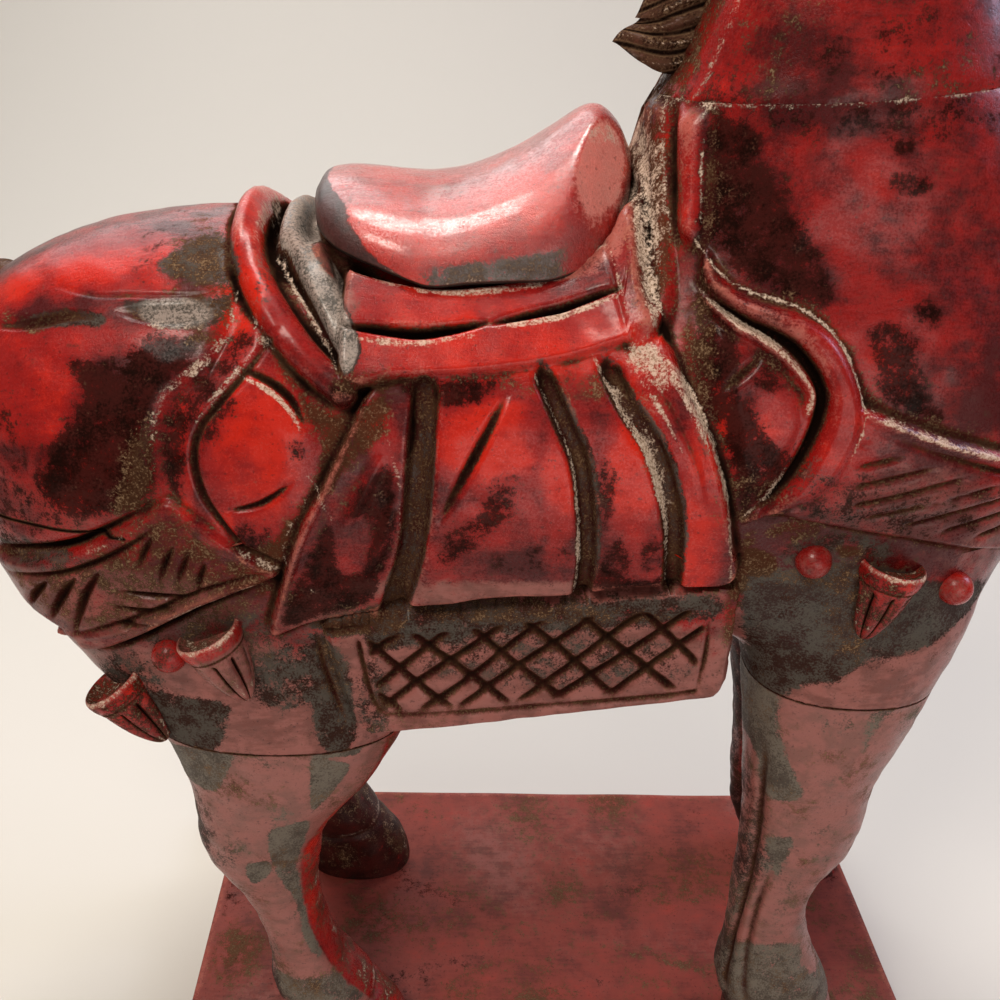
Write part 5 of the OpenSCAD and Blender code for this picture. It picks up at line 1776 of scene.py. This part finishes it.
@dataclass
class HeadAndNeck(Piece):
    """Neck and head as one field, drawn as the surface through its zero, and coloured point by point."""

    body: BodyForm = field(default_factory=BodyForm)
    cell: float = 0.85
    low: tuple[float, float, float] = (-9.0, -30.0, 209.0)
    high: tuple[float, float, float] = (95.0, 30.0, 302.0)
    length: float = 82.0
    wide: float = 35.0
    deep: float = 37.0
    power: float = 2.3
    slope: float = 52.0
    poll: tuple[float, float] = (40.0, 53.0)
    head: Rows = ((-0.2, -0.06, -0.2, 0.16), (-0.17, 0.08, -0.32, 0.46), (-0.1, 0.21, -0.43, 0.7),
                  (0, 0.32, -0.54, 0.88), (0.14, 0.36, -0.64, 1), (0.3, 0.31, -0.65, 0.94),
                  (0.47, 0.25, -0.47, 0.74), (0.66, 0.23, -0.36, 0.6), (0.83, 0.25, -0.35, 0.6),
                  (0.95, 0.19, -0.3, 0.53), (1, 0.08, -0.18, 0.34))
    blots: tuple = stains(((20, 236, 9, 4, 0.5), (34, 241, 7, 9, 0.42), (58, 240, 12, 12, 0.5),
                           (66, 252, 9, 18, 0.5)))

    def to_head(self, p: Array) -> tuple[Array, Array]:
        """Place along the face from the poll and height above the face's line.

        Args:
            p: Points.

        Returns:
            Places along the face and heights above its line.
        """
        x, h = self.body.to_seam(p)
        a = math.radians(self.slope + self.body.seam_tilt)
        x, h = x - self.poll[0], h - self.poll[1]
        return x * math.cos(a) - h * math.sin(a), x * math.sin(a) + h * math.cos(a)

    def from_head(self, x: float, y: float, z: float) -> Array:
        """A point from its place along the face, across it and above its line.

        Args:
            x: Place along the face.
            y: Place across it.
            z: Height above its line.

        Returns:
            The point.
        """
        a = math.radians(self.slope + self.body.seam_tilt)
        return self.body.from_seam(self.poll[0] + x * math.cos(a) + z * math.sin(a), y,
                                   self.poll[1] - x * math.sin(a) + z * math.cos(a))

    def head_field(self, p: Array) -> Array:
        """Signed distance, about, to the head.

        Args:
            p: Points.

        Returns:
            Distances, negative inside.
        """
        x, z = self.to_head(p)
        s = x / self.length
        top, low = (self.deep * curve(self.head, s, k) for k in (1, 2))
        half, tall = self.wide / 2 * curve(self.head, s, 3), (top - low) / 2
        r = radius(p[..., 1] / half, (z - (top + low) / 2) / tall, self.power)
        ends = np.maximum(x - self.length, self.head[0][0] * self.length - x)
        return blend_max((r - 1) * np.minimum(half, tall), ends, 6.0)

    def carving(self, p: Array) -> tuple[Array, Array]:
        """Height and groove depth of the eyes, nostrils, lips, cheeks and bridle.

        Args:
            p: Points.

        Returns:
            Heights and depths.
        """
        x, z = self.to_head(p)
        y = np.abs(p[..., 1])
        face = step(6, 9, y)
        lid = 2.7 * np.sqrt(np.clip(1 - ((x - 22) / 8.0) ** 2, 0.05, 1))
        eye = np.hypot((x - 22) / 5.4, (z - 4.5) / lid)
        brow = 1.2 * face * np.exp(-((eye - 1.7) / 0.35) ** 2) * step(-2, 3, z - 4)
        high = 1.5 * face * np.sqrt(np.clip(1 - eye**2, 0, 1)) + brow
        cut = 0.6 * face * np.exp(-((eye - 1.15) / 0.16) ** 2)
        nose = np.hypot((x - 74) / 3.4, (z - 1.0) / 2.2)
        cut = np.maximum(cut, 2.2 * step(4, 6, y) * np.exp(-(nose**2)))
        high = high + 0.9 * step(4, 6, y) * np.exp(-((nose - 1.6) / 0.5) ** 2)
        lips = np.abs(z + 6.5 + 0.06 * (x - 70))
        cut = np.maximum(cut, 1.4 * step(60, 66, x) * np.exp(-((lips / 0.8) ** 2)))
        cheek = np.hypot((x - 24) / 13, (z + 9) / 11)
        cut = np.maximum(cut, 0.7 * face * np.exp(-(((cheek - 1) / 0.09) ** 2)) * step(-2, 4, -z))
        noseband = step(0.6, 0, np.abs(x - 55) - 2.4)
        browband = step(0.6, 0, np.abs(x - 3 - 0.25 * (z + 5)) - 2.0)
        side = step(0.6, 0, np.abs(z + 1.2 - 0.03 * (x - 30)) - 1.7) * step(2, 5, x) * step(58, 54, x) * face
        bridle = 1.1 * np.maximum(np.maximum(noseband, browband), side)
        high = np.maximum(high, bridle * step(-1.5, 1.5, 60 - x) * (self.head_field(p) < 3))
        return high, cut

    def whole(self, p: Array) -> Array:
        """Field of the carved neck above its glue line, with the muzzle, which hangs below that line.

        Args:
            p: Points.

        Returns:
            Distances, negative inside.
        """
        head = self.head_field(p)
        d = blend_min(self.body.neck_field(p), head, 7.0)
        high, cut = self.carving(p)
        carved = (high - cut) * step(4, -2, head)
        x, h = self.body.to_seam(p)
        d = d - carved - 0.22 * ripple(p, 24, 21) * step(0, 4, h) + 0.1 * (1 - step(0, 1.5, h))
        above = np.maximum(d, -0.5 - h)
        throat = self.body.neck_ends(np.zeros(1))[1]
        muzzle = np.maximum(head - carved, throat + 1.0 - x)
        return np.minimum(above, muzzle)

    def build(self) -> bpy.types.Object:
        """Draws the surface and colours it.

        Returns:
            The object.
        """
        p, quads = skin(self.whole, np.array(self.low), np.array(self.high), self.cell)
        x, h = self.body.to_seam(p)
        raised, cut = self.carving(p)
        on_head = step(4, -2, self.head_field(p))
        dark = np.clip(0.3 + 0.22 * ripple(p, 34, 31) + 0.2 * step(48, 66, x), 0, 0.6)
        dark = np.maximum(dark * (1 - on_head) + 0.3 * on_head, highest(self.blots, p[..., 0], p[..., 2]))
        patina = np.stack([dark, 0.16 + 0.16 * ripple(p, 15, 32), 0.25 * step(30, 70, x)], -1)
        back = self.body.neck_ends(h)[0]
        facet = (1 - step(1.0, 3.2, x - back)) * (1 - step(40, 60, h))
        patina[..., 1] = np.maximum(patina[..., 1], 0.66 * facet)
        hairline = 0.4 * (1 - step(0.05, 0.4, h)) * (x < 61)
        crest = 0.62 * np.exp(-((x - back - 3.4) / 0.5) ** 2) * (1 - step(30, 50, h))
        pale = np.maximum(hairline, crest)
        shine = np.clip(0.05 + 0.4 * ripple(p, 30, 33), 0, 1)
        carve = np.stack([np.clip(cut * on_head, 0, 1), np.clip(0.35 * raised * on_head, 0, 0.5), shine], -1)
        wear = np.stack([0.4 * facet, pale, 0.5 * shine], -1)
        return make_piece(self.name, p, quads, (), {"patina": patina, "carve": carve, "wear": wear}, 45)


@dataclass
class Mane(Piece):
    """Mane along the crest: a fin with a slanted foot and strands that run down and outwards."""

    body: BodyForm = field(default_factory=BodyForm)
    thick: float = 9.0
    reach: float = 9.5
    root: float = 5.0
    locks: int = 6
    span: tuple[float, float] = (0.05, 0.86)
    levels: int = 200
    across: int = 60

    def build(self) -> bpy.types.Object:
        """Makes the fin as rings from the root round the outer edge and back.

        Returns:
            The object.
        """
        b = self.body
        u = np.linspace(*self.span, self.levels)[:, None]
        share = (u - self.span[0]) / (self.span[1] - self.span[0]) * self.locks
        tooth = share - np.floor(np.minimum(share, self.locks - 1e-6))
        back = b.neck_ends(u * b.neck_h)[0]
        v = np.linspace(0, 1, self.across)[None, :]
        out = np.minimum(v, 1 - v) * 2
        side = np.where(v < 0.5, -1.0, 1.0)
        rise = 0.62 * out
        far = self.reach * (1 - 0.1 * tooth)
        x = back + self.root - (self.root + far) * out
        strand = np.sin((share * 2.5 + 1.8 * out + 0.08 * np.sin(7 * out)) * 2 * math.pi)
        y = side * (self.thick / 2) * np.clip(1 - out**6, 0.02, 1) * (1 + 0.09 * strand)
        lift = rise * self.reach * 0.9 * step(0.3, 1, out) * (1 - step(0, 0.16, u - self.span[0]))
        p = b.from_seam(x, y, u * b.neck_h + lift)
        hollow = np.clip(0.75 * -strand, 0, 1) * np.ones(x.shape)
        layers = even_layers(p, 0.8, 0.3, 0.0, hollow, 0.0, 0.0)
        layers["wear"][..., 1] = 0.62 * step(0.93, 1, strand) * step(0.1, 0.4, out)
        return make_tube(self.name, p, layers, 50)


@dataclass
class Ear(Piece):
    """An ear: rounded sections along its height, hollowed at the front."""

    side: Side = Side.RIGHT
    head: HeadAndNeck = field(default_factory=HeadAndNeck)
    high: float = 21.0
    wide: float = 10.0
    gap: float = 17.0
    lean: float = 12.0
    levels: int = 60
    turns: int = 48
    rows: Rows = ((-0.3, 0.84), (0, 1), (0.3, 1.06), (0.6, 0.86), (0.85, 0.48), (1, 0.12))

    def build(self) -> bpy.types.Object:
        """Makes the stack of sections, leaning outwards.

        Returns:
            The object.
        """
        s = np.linspace(self.rows[0][0], 1, self.levels)[:, None]
        turn = circle(self.turns)
        k = curve(self.rows, s, 1) * self.wide
        dish = 0.3 * np.exp(-((np.angle(np.exp(1j * turn)) / 0.7) ** 2))
        dish = dish * step(0.05, 0.3, s) * (1 - step(0.8, 1, s))
        x, y, z = k * (0.34 - dish) * np.cos(turn), k * 0.5 * np.sin(turn), self.high * s + 0 * turn
        a = math.radians(-self.head.slope - self.head.body.seam_tilt)
        lean = math.radians(-self.lean * self.side.value)
        y, z = y * math.cos(lean) - z * math.sin(lean), y * math.sin(lean) + z * math.cos(lean)
        x, z = x * math.cos(a) + z * math.sin(a), z * math.cos(a) - x * math.sin(a)
        foot = 1.0, self.side.value * self.gap / 2, self.head.deep * 0.27
        p = self.head.from_head(x + foot[0], y + foot[1], z + foot[2])
        layers = even_layers(p, 0.4, 0.2, 0.2, np.clip(dish * 2.6, 0, 0.8), 0.0, 0.6)
        return make_tube(self.name, p, layers, 50)


@dataclass
class Tail(Piece):
    """The bound tail: round sections down its length, a cord round its waist and strands below."""

    body: BodyForm = field(default_factory=BodyForm)
    long: float = 54.0
    wide: float = 19.0
    thick: float = 16.0
    top: float = 192.0
    levels: int = 150
    turns: int = 96
    rows: Rows = ((0, 0.56, 0.5, 0.5), (0.12, 0.19, 0.8, 0.8), (0.3, -0.25, 1, 0.95),
                  (0.5, -0.47, 0.95, 0.8), (0.62, -0.5, 0.85, 0.72), (0.8, -0.47, 1, 1),
                  (0.95, -0.38, 0.7, 0.75), (1, -0.34, 0.4, 0.4))

    def build(self) -> bpy.types.Object:
        """Makes the stack of sections.

        Returns:
            The object.
        """
        s = np.linspace(0, 1, self.levels)[:, None]
        turn = circle(self.turns)
        strand = np.abs(np.sin(5.5 * turn + 3 * s))
        cord = np.exp(-((s - 0.6) / 0.018) ** 2) + np.exp(-((s - 0.55) / 0.018) ** 2)
        k = 1 - 0.1 * (1 - strand) * step(0.05, 0.2, s) * (1 - np.clip(cord, 0, 1)) + 0.05 * cord
        deep = 0.5 * curve(self.rows, s, 2) * np.cos(turn) * k
        x = self.body.rump_x + self.thick * (curve(self.rows, s, 1) + deep)
        y = self.wide / 2 * curve(self.rows, s, 3) * np.sin(turn) * k
        p = np.stack([x, y, self.top - self.long * s + 0 * turn], -1)
        groove = (1 - step(0, 0.5, strand)) * (1 - np.clip(cord, 0, 1))
        edge = np.clip(0.5 * cord, 0, 0.5) + 0 * groove
        return make_tube(self.name, p, even_layers(p, 0.6, 0.25, 0.1, 0.8 * groove, edge, 0.3), 50)


@dataclass
class Saddle(Piece):
    """The seat: sections across it from cantle to pommel, with a cut facet on each side of the pommel."""

    rows: Rows = ((-54.3, 206.5, 208.5, 5), (-53, 205.4, 210.6, 13), (-50, 203.8, 211.4, 18.8),
                  (-47, 202.8, 211.6, 21.6), (-43, 201.6, 211.5, 23.6), (-38, 200.4, 211.1, 25.2),
                  (-34, 199.6, 211.1, 25.8), (-28, 200, 212.3, 25.6), (-20, 200.6, 215.8, 24.8),
                  (-14, 200.8, 220, 23.6), (-9, 202.2, 223.6, 20.8), (-6, 203.8, 224, 17.8),
                  (-3, 206.4, 221.6, 13.4), (-1, 209.6, 218, 8), (-0.2, 212, 216.6, 4))
    long: int = 190
    turns: int = 200
    power: float = 2.2
    under: float = 2.6
    facet: tuple = ((-6.4, 7.1, 222.8), (-11.6, 18.8, 213.5), (-2.2, 7.0, 218.0))

    def build(self) -> bpy.types.Object:
        """Makes the sections: a rounded upper half and a shallow underside.

        Returns:
            The object.
        """
        t = np.linspace(0, 1, self.long)[:, None]
        first, last = self.rows[0][0], self.rows[-1][0]
        span = last - first
        x = np.clip(first + span * (0.5 - 0.5 * np.cos(math.pi * t)) * 0.35 + span * t * 0.65, first, last)
        low, top, half = (curve(self.rows, x, k) for k in (1, 2, 3))
        turn = circle(self.turns)
        c, s = oval(turn, self.power)
        y = half * c
        z = low + np.where(s > 0, (top - low) * s, self.under * s)
        p = np.stack([x + 0 * turn, y, z], -1)
        a, b, d = (np.array(v) for v in self.facet)
        normal = np.cross(b - a, d - a)
        normal *= np.sign(normal[1]) / np.linalg.norm(normal)
        over = np.stack([p[..., 0], np.abs(p[..., 1]), p[..., 2]], -1) @ normal - a @ normal
        push = np.where((x > -20) & (s > 0), 0.5 * (over + np.sqrt(over**2 + 0.25)), 0) * step(-19, -13, x)
        p -= push[..., None] * np.stack([normal[0] + 0 * y, np.sign(y) * normal[1], normal[2] + 0 * y], -1)
        p[..., 2] += 0.15 * ripple(p, 22, 41)
        # Painted shade: the underside and the cantle's rear wall are darkened; the lens under the seat's
        # lower edge gets dirt and grey, partly painted shade in that gap
        under = step(0.02, -0.25, s) * np.ones(x.shape)
        end = np.interp(p[..., 2], (199, 201.9, 205.7, 209.4, 210.9), (-35.7, -42, -46.2, -48.9, -52))
        cantle = step(0.9, -0.9, p[..., 0] - end)
        layers = even_layers(p, 0.0, 0.0, 0.0, under * 0.9, 0.0, 0.8)
        lens = step(0.3, 0.18, s) * step(-37, -33, x) * step(-11, -15, x)
        dark = np.maximum(0.9 * under, 1.1 * cantle) + 0.06 + 0.1 * ripple(p, 18, 42)
        layers["patina"] = np.stack([dark, 0.6 * lens, 0.12 + 0.2 * ripple(p, 16, 43)], -1)
        # Pommel facet: the edge colour along it and the pale at its top are painted highlights
        ahead = step(-17, -12, x)
        cut = step(0.0, 0.8, over) * ahead
        layers["carve"][..., 1] = np.maximum(0.3 * np.exp(-((over - 0.2) / 0.7) ** 2) * ahead, 0.7 * cut)
        brim = 0.45 * np.exp(-((s + 0.02) / 0.05) ** 2) * step(-45, -40, x) * step(-20, -24, x)
        layers["wear"][..., 0] = 0.8 * lens
        layers["wear"][..., 1] = np.maximum(brim, 0.55 * cut * step(217, 221.5, p[..., 2]))
        return make_tube(self.name, p, layers, 50)


@dataclass
class Tassels(Piece):
    """The carved buds of the harness: turned about their length, fluted below a flat rim."""

    places: tuple = ((46, 38.5, 158, -7), (-71, 39, 141, 23), (-90.1, 35.05, 126.5, 32))
    long: float = 16.0
    wide: float = 11.5
    turns: int = 72
    profile: Path = ((0.06, -0.12), (0.3, -0.11), (0.41, -0.05), (0.46, 0.0), (0.5, -0.04), (0.49, -0.13),
                     (0.46, -0.2), (0.44, -0.25), (0.42, -0.38), (0.35, -0.6), (0.23, -0.82), (0.12, -0.95),
                     (0.03, -1.0))

    def build(self) -> bpy.types.Object:
        """Makes all the buds of both sides as one mesh.

        Returns:
            The object.
        """
        line, turn = rounded(self.profile, False, 6), circle(self.turns)
        r, z = line[:, :1], line[:, 1:]
        rows, n = len(line), self.turns
        flute = np.abs(np.sin(4 * turn)) ** 0.6
        deep = step(-0.24, -0.34, z)
        across = r * (1 - 0.24 * deep * (1 - flute))
        lx, ly = across * np.cos(turn) * self.wide, across * np.sin(turn) * self.wide
        lz = z * self.long + 0 * turn
        groove = np.maximum(0.75 * deep * (1 - step(0.3, 0.62, flute)),
                            0.4 * np.exp(-((z + 0.22) / 0.025) ** 2))
        order = np.linspace(0, 1, rows)[:, None] + 0 * turn
        mouth, rim = step(0.3, 0.2, order), np.exp(-((order - 0.3) / 0.06) ** 2)
        neck = 0.4 * step(0.26, 0.32, order) * step(0.5, 0.42, order)
        worn = np.maximum(0.66 * rim, 0.4 * mouth) + 0.5 * deep * step(0.86, 1, flute) * step(-0.4, -0.75, z)
        carve = np.stack([groove, 0.5 * rim, 0.7 + 0 * groove], -1)
        wear = np.stack([0.4 * mouth, worn, 0 * groove], -1)
        points, quads, fans = [], [], []
        layers = {"patina": [], "carve": [], "wear": []}
        for (at_x, at_y, at_z, tilt), side in itertools.product(self.places, (-1, 1)):
            a = math.radians(tilt)
            start = len(points) * rows * n
            points.append(np.stack([at_x + lx * math.cos(a) - lz * math.sin(a), side * at_y + ly,
                                    at_z + lx * math.sin(a) + lz * math.cos(a)], -1))
            quads.append(grid_faces(rows, n, True) + start)
            fans += end_rings(rows, n, start)
            dim, rose = (0.15, 0.8) if -80 < at_x < 0 else (0.55, 0.5)
            layers["patina"].append(np.stack([dim + 0 * groove, 0.3 + 0.4 * mouth, rose - neck], -1))
            layers["carve"].append(carve)
            layers["wear"].append(wear)
        joined = {key: np.vstack(value) for key, value in layers.items()}
        return make_piece(self.name, np.vstack(points), np.vstack(quads), tuple(fans), joined, 60)


@dataclass
class Beads(Piece):
    """Turned beads of the harness on both sides."""

    places: tuple = ()
    across: float = 6.2
    dim: float = 0.12
    rows: int = 25
    turns: int = 48

    def build(self) -> bpy.types.Object:
        """Makes the beads as one mesh of rings from pole to pole.

        Returns:
            The object.
        """
        up = np.linspace(-math.pi / 2, math.pi / 2, self.rows + 2)[1:-1][:, None]
        turn = circle(self.turns)
        ball = np.stack([np.cos(up) * np.cos(turn), np.cos(up) * np.sin(turn), np.sin(up) + 0 * turn], -1)
        ball = ball.reshape(-1, 3)
        centres = [(x, side * y, z) for x, y, z in self.places for side in (-1, 1)]
        starts = [k * len(ball) for k in range(len(centres))]
        points = np.vstack([ball * self.across / 2 + np.array(c) for c in centres])
        quads = np.vstack([grid_faces(self.rows, self.turns, True) + start for start in starts])
        fans = tuple(ring for start in starts for ring in end_rings(self.rows, self.turns, start))
        return make_piece(self.name, points, quads, fans,
                          even_layers(points, self.dim, 0.15, 0.4, 0.0, 0.0, 0.6), 60)


@dataclass
class Board(Piece):
    """The board: rectangles from the underside over the chamfer to the middle of the top."""

    long: float = 180.0
    wide: float = 104.0
    thick: float = 14.0
    chamfer: float = 1.2
    cuts: int = 60

    def build(self) -> bpy.types.Object:
        """Makes the shell as rings that shrink towards the middle of each face.

        Returns:
            The object.
        """
        side = np.linspace(-1, 1, self.cuts + 1)[:-1]
        one = np.ones(self.cuts)
        square = np.stack([np.concatenate([side, one, -side, -one]),
                           np.concatenate([-one, side, one, -side])], 1)
        c, t = self.chamfer, self.thick
        levels = [(8, 0), (3, 0), (0.5, 0), (0, 0.5), (0, 3), (0, 7), (0, t - c - 1.5), (0, t - c),
                  (0.25, t - 0.4), (c, t), (3, t), (8, t), (16, t), (26, t), (38, t)]
        half = np.array([self.long, self.wide]) / 2
        p = np.stack([np.column_stack([square * (half - inset), np.full(len(square), z)])
                      for inset, z in levels])
        p[..., 2] += np.where(p[..., 2] > t - 0.5, -0.12 + 0.12 * ripple(p, 40, 51), 0)
        dark = np.clip(0.1 + 0.25 * ripple(p, 38, 52), 0, 0.6)
        patina = np.stack([dark, 0.26 + 0.4 * ripple(p, 42, 53), 0.3 + 0.25 * ripple(p, 60, 54)], -1)
        edge = np.zeros(p.shape[:-1])
        edge[levels.index((0.25, t - 0.4)):levels.index((3, t))] = 0.35
        carve = np.stack([0 * edge, edge, 0.35 + 0 * edge], -1)
        return make_tube(self.name, p, {"patina": patina, "carve": carve, "wear": 0 * patina}, 30)


@dataclass(frozen=True)
class BareWood:
    """Pale bare wood of the dowels."""

    name: str = "bare hardwood"
    pale: str = "#C9A878"
    brown: str = "#A67F50"

    def build(self) -> bpy.types.Material:
        """Makes the material with a grain along the length of the dowels.

        Returns:
            The material.
        """
        s = Shader(self.name)
        base = s.mix(s.noise(1.5, 3, 0.6, stretch=(1, 1, 0.1)), self.pale, self.brown)
        return s.surface(Base_Color=base, Roughness=0.7)


@dataclass
class Studio:
    """Floor, lights and camera, none of them part of the object."""

    place: tuple[float, float, float] = (-31.0, -180.5, 245.4)
    pitch: float = 28.54
    yaw: float = 3.70
    roll: float = 3.37
    reach: float = 2600.0
    front: float = -600.0
    wall: float = 700.0
    bend: float = 350.0
    tall: float = 2400.0
    paper: str = "#D3CFC8"
    sky: str = "#D9D6D0"
    sky_power: float = 0.3
    lens: float = 36.0
    lights: tuple = (
        ("key", (-260, -330, 720), (-20, 0, 170), 0.22, 2.9, "#FFF4E6"),
        ("top", (-108, 147, 790), (-30, 0, 190), 0.24, 3.3, "#FFF8F0"),
        ("window", (603, 90, 545), (0, 0, 210), 0.26, 2.2, "#D6DCFF"),
        ("front", (150, -540, 150), (10, 0, 110), 0.4, 1.1, "#FFF6EC"),
        ("back", (-300, 500, 600), (-20, 0, 180), 0.5, 1.6, "#FFFFFF"),
    )

    def camera(self) -> None:
        """Sets the camera to the photo's view."""
        p, y, r = (math.radians(v) for v in (self.pitch, self.yaw, self.roll))
        ahead = np.array([math.sin(y) * math.cos(p), math.cos(y) * math.cos(p), -math.sin(p)])
        right = np.array([math.cos(y), -math.sin(y), 0.0])
        up = np.cross(right, ahead)
        right, up = math.cos(r) * right + math.sin(r) * up, math.cos(r) * up - math.sin(r) * right
        data = bpy.data.cameras.new("camera")
        data.lens, data.sensor_width, data.sensor_fit = self.lens, 36.0, "AUTO"
        data.clip_start, data.clip_end = 0.01, 20.0
        bpy.context.scene.camera = link(data, "camera", np.column_stack([right, up, -ahead]), self.place)

    def light(self, name: str, place: tuple, aim: tuple, size: float, power: float, colour: str) -> None:
        """Adds a square soft light that points at a place, both in millimetres.

        Args:
            name: Name of the light.
            place: Its place.
            aim: Place it points at.
            size: Side of the square in metres.
            power: Power in watts.
            colour: Hex colour.
        """
        data = bpy.data.lights.new(name, "AREA")
        data.size, data.energy, data.color = size, power, linear(colour)[:3]
        way = np.array(place, float) - np.array(aim, float)
        way /= np.linalg.norm(way)
        side = np.cross((0, 0, 1), way)
        side /= np.linalg.norm(side)
        link(data, name, np.column_stack([side, np.cross(way, side), way]), place)

    def build(self) -> None:
        """Makes the floor, lights, surroundings and camera."""
        t = np.linspace(0, math.pi / 2, 24)
        y = np.concatenate([[-self.reach, self.front], self.wall - self.bend + self.bend * np.sin(t),
                            [self.wall]])
        z = np.concatenate([[0, 0], self.bend - self.bend * np.cos(t), [self.tall]])
        line = np.stack([y, z], 1)
        ends = [np.column_stack([np.full(len(line), x), line]) for x in (-self.reach, self.reach)]
        p = np.stack(ends, 1).reshape(-1, 3)
        mesh = bpy.data.meshes.new("sweep")
        mesh.from_pydata((p * MM).tolist(), [], grid_faces(len(line), 2)[:, ::-1].tolist())
        mesh.polygons.foreach_set("use_smooth", np.ones(len(mesh.polygons), bool))
        floor = link(mesh, "sweep")
        paper = Shader("plain pale sweep").surface(Base_Color=linear(self.paper), Roughness=0.7)
        mesh.materials.append(paper)
        world = bpy.data.worlds.new("studio")
        world.use_nodes = True
        back = world.node_tree.nodes["Background"]
        back.inputs[0].default_value, back.inputs[1].default_value = linear(self.sky), self.sky_power
        bpy.context.scene.world = world
        for light in self.lights:
            self.light(*light)
        bpy.context.scene.view_settings.view_transform = "Standard"
        self.camera()


def pieces() -> list[Piece]:
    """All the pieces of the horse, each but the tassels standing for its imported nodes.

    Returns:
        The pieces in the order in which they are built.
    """
    made: list[Piece] = [
        Board("board", ("base_board",), "board_lacquer"),
        TrunkBlock("upper_trunk", ("trunk_upper_block",), half=Half.UPPER, near_counts=(88, 54, 14),
                   far_counts=(30, 18, 10), knots=(40.0, 62.0)),
        TrunkBlock("lower_trunk", ("trunk_lower_block",), half=Half.LOWER),
        HeadAndNeck("head_and_neck", ("head_and_neck_block",)),
        Mane("mane", ("mane_crest",), "dark_lacquer"),
        Tail("bound_tail", ("tail",), "dark_lacquer"),
        Saddle("seat", ("saddle",), look="polished_lacquer"),
        Tassels("carved_tassels", ()),
        Beads("beads_of_breast", ("breast_beads",), places=((32, 38.5, 158), (59.2, 36.6, 152))),
        Beads("beads_of_rump", ("rump_beads",), places=((-78, 38, 135),), dim=0.4),
    ]
    for side in Side:
        word = side.name.lower()
        made.append(Ear(f"ear_{word}", (f"{word}_ear",), side=side))
        made.append(Leg(f"fore_leg_{word}", (f"{word}_fore_leg",), look="faded_and_floor_sheen_lacquer", side=side))
        made.append(Leg(f"hind_leg_{word}", (f"{word}_hind_leg",), look="faded_and_floor_sheen_lacquer", side=side,
                        hind=True))
    return made


def main() -> None:
    """Builds the object and its studio."""
    logging.basicConfig(level=logging.INFO, format="%(name)s: %(message)s")
    lacquer = WornLacquer()
    finishes = {
        "red_lacquer": lacquer.build(),
        "board_lacquer": replace(lacquer, name="dull red lacquer of the board", bright="#96392F",
                                 red="#823A31", deep="#5E2C26", dirt="#53402F", ochre="#6E5A42", gloss=0.5,
                                 coat=0.1).build(),
        # seat: the lighter edge colour paints the highlight on the pommel's facet
        "polished_lacquer": replace(lacquer, name="red lacquer of the seat, polished", gloss=0.3, coat=1.0,
                                    sheen=0.85, worn_edge_and_highlight="#D98B81", texture=0.95).build(),
        # legs: the rose is partly a painted reflection of the pale floor
        "faded_and_floor_sheen_lacquer": replace(lacquer, name="dusty lacquer of the legs", faded_and_floor_sheen="#774A42",
                                 slate="#665D53", shade="#463D36", coat=0.2, sheen=0.35).build(),
        "dark_lacquer": replace(lacquer, name="dark lacquer of the mane and tail", bright="#6B3A2A",
                                red="#5A3325", deep="#472A1E", dark="#4A3226", dirt="#5E4735", gloss=0.4,
                                coat=0.2).build(),
    }
    for piece in pieces():
        piece.dress(finishes[piece.look or piece.slot])
    wood = BareWood().build()
    for node in ("trunk_dowels", "neck_dowels", "leg_dowels", "hoof_pegs", "mane_pegs", "ear_pegs",
                 "tail_peg", "saddle_pegs"):
        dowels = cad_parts[node]
        dowels.data.materials.clear()
        dowels.data.materials.append(wood)
    Studio().build()


if __name__ == "__main__":
    main()
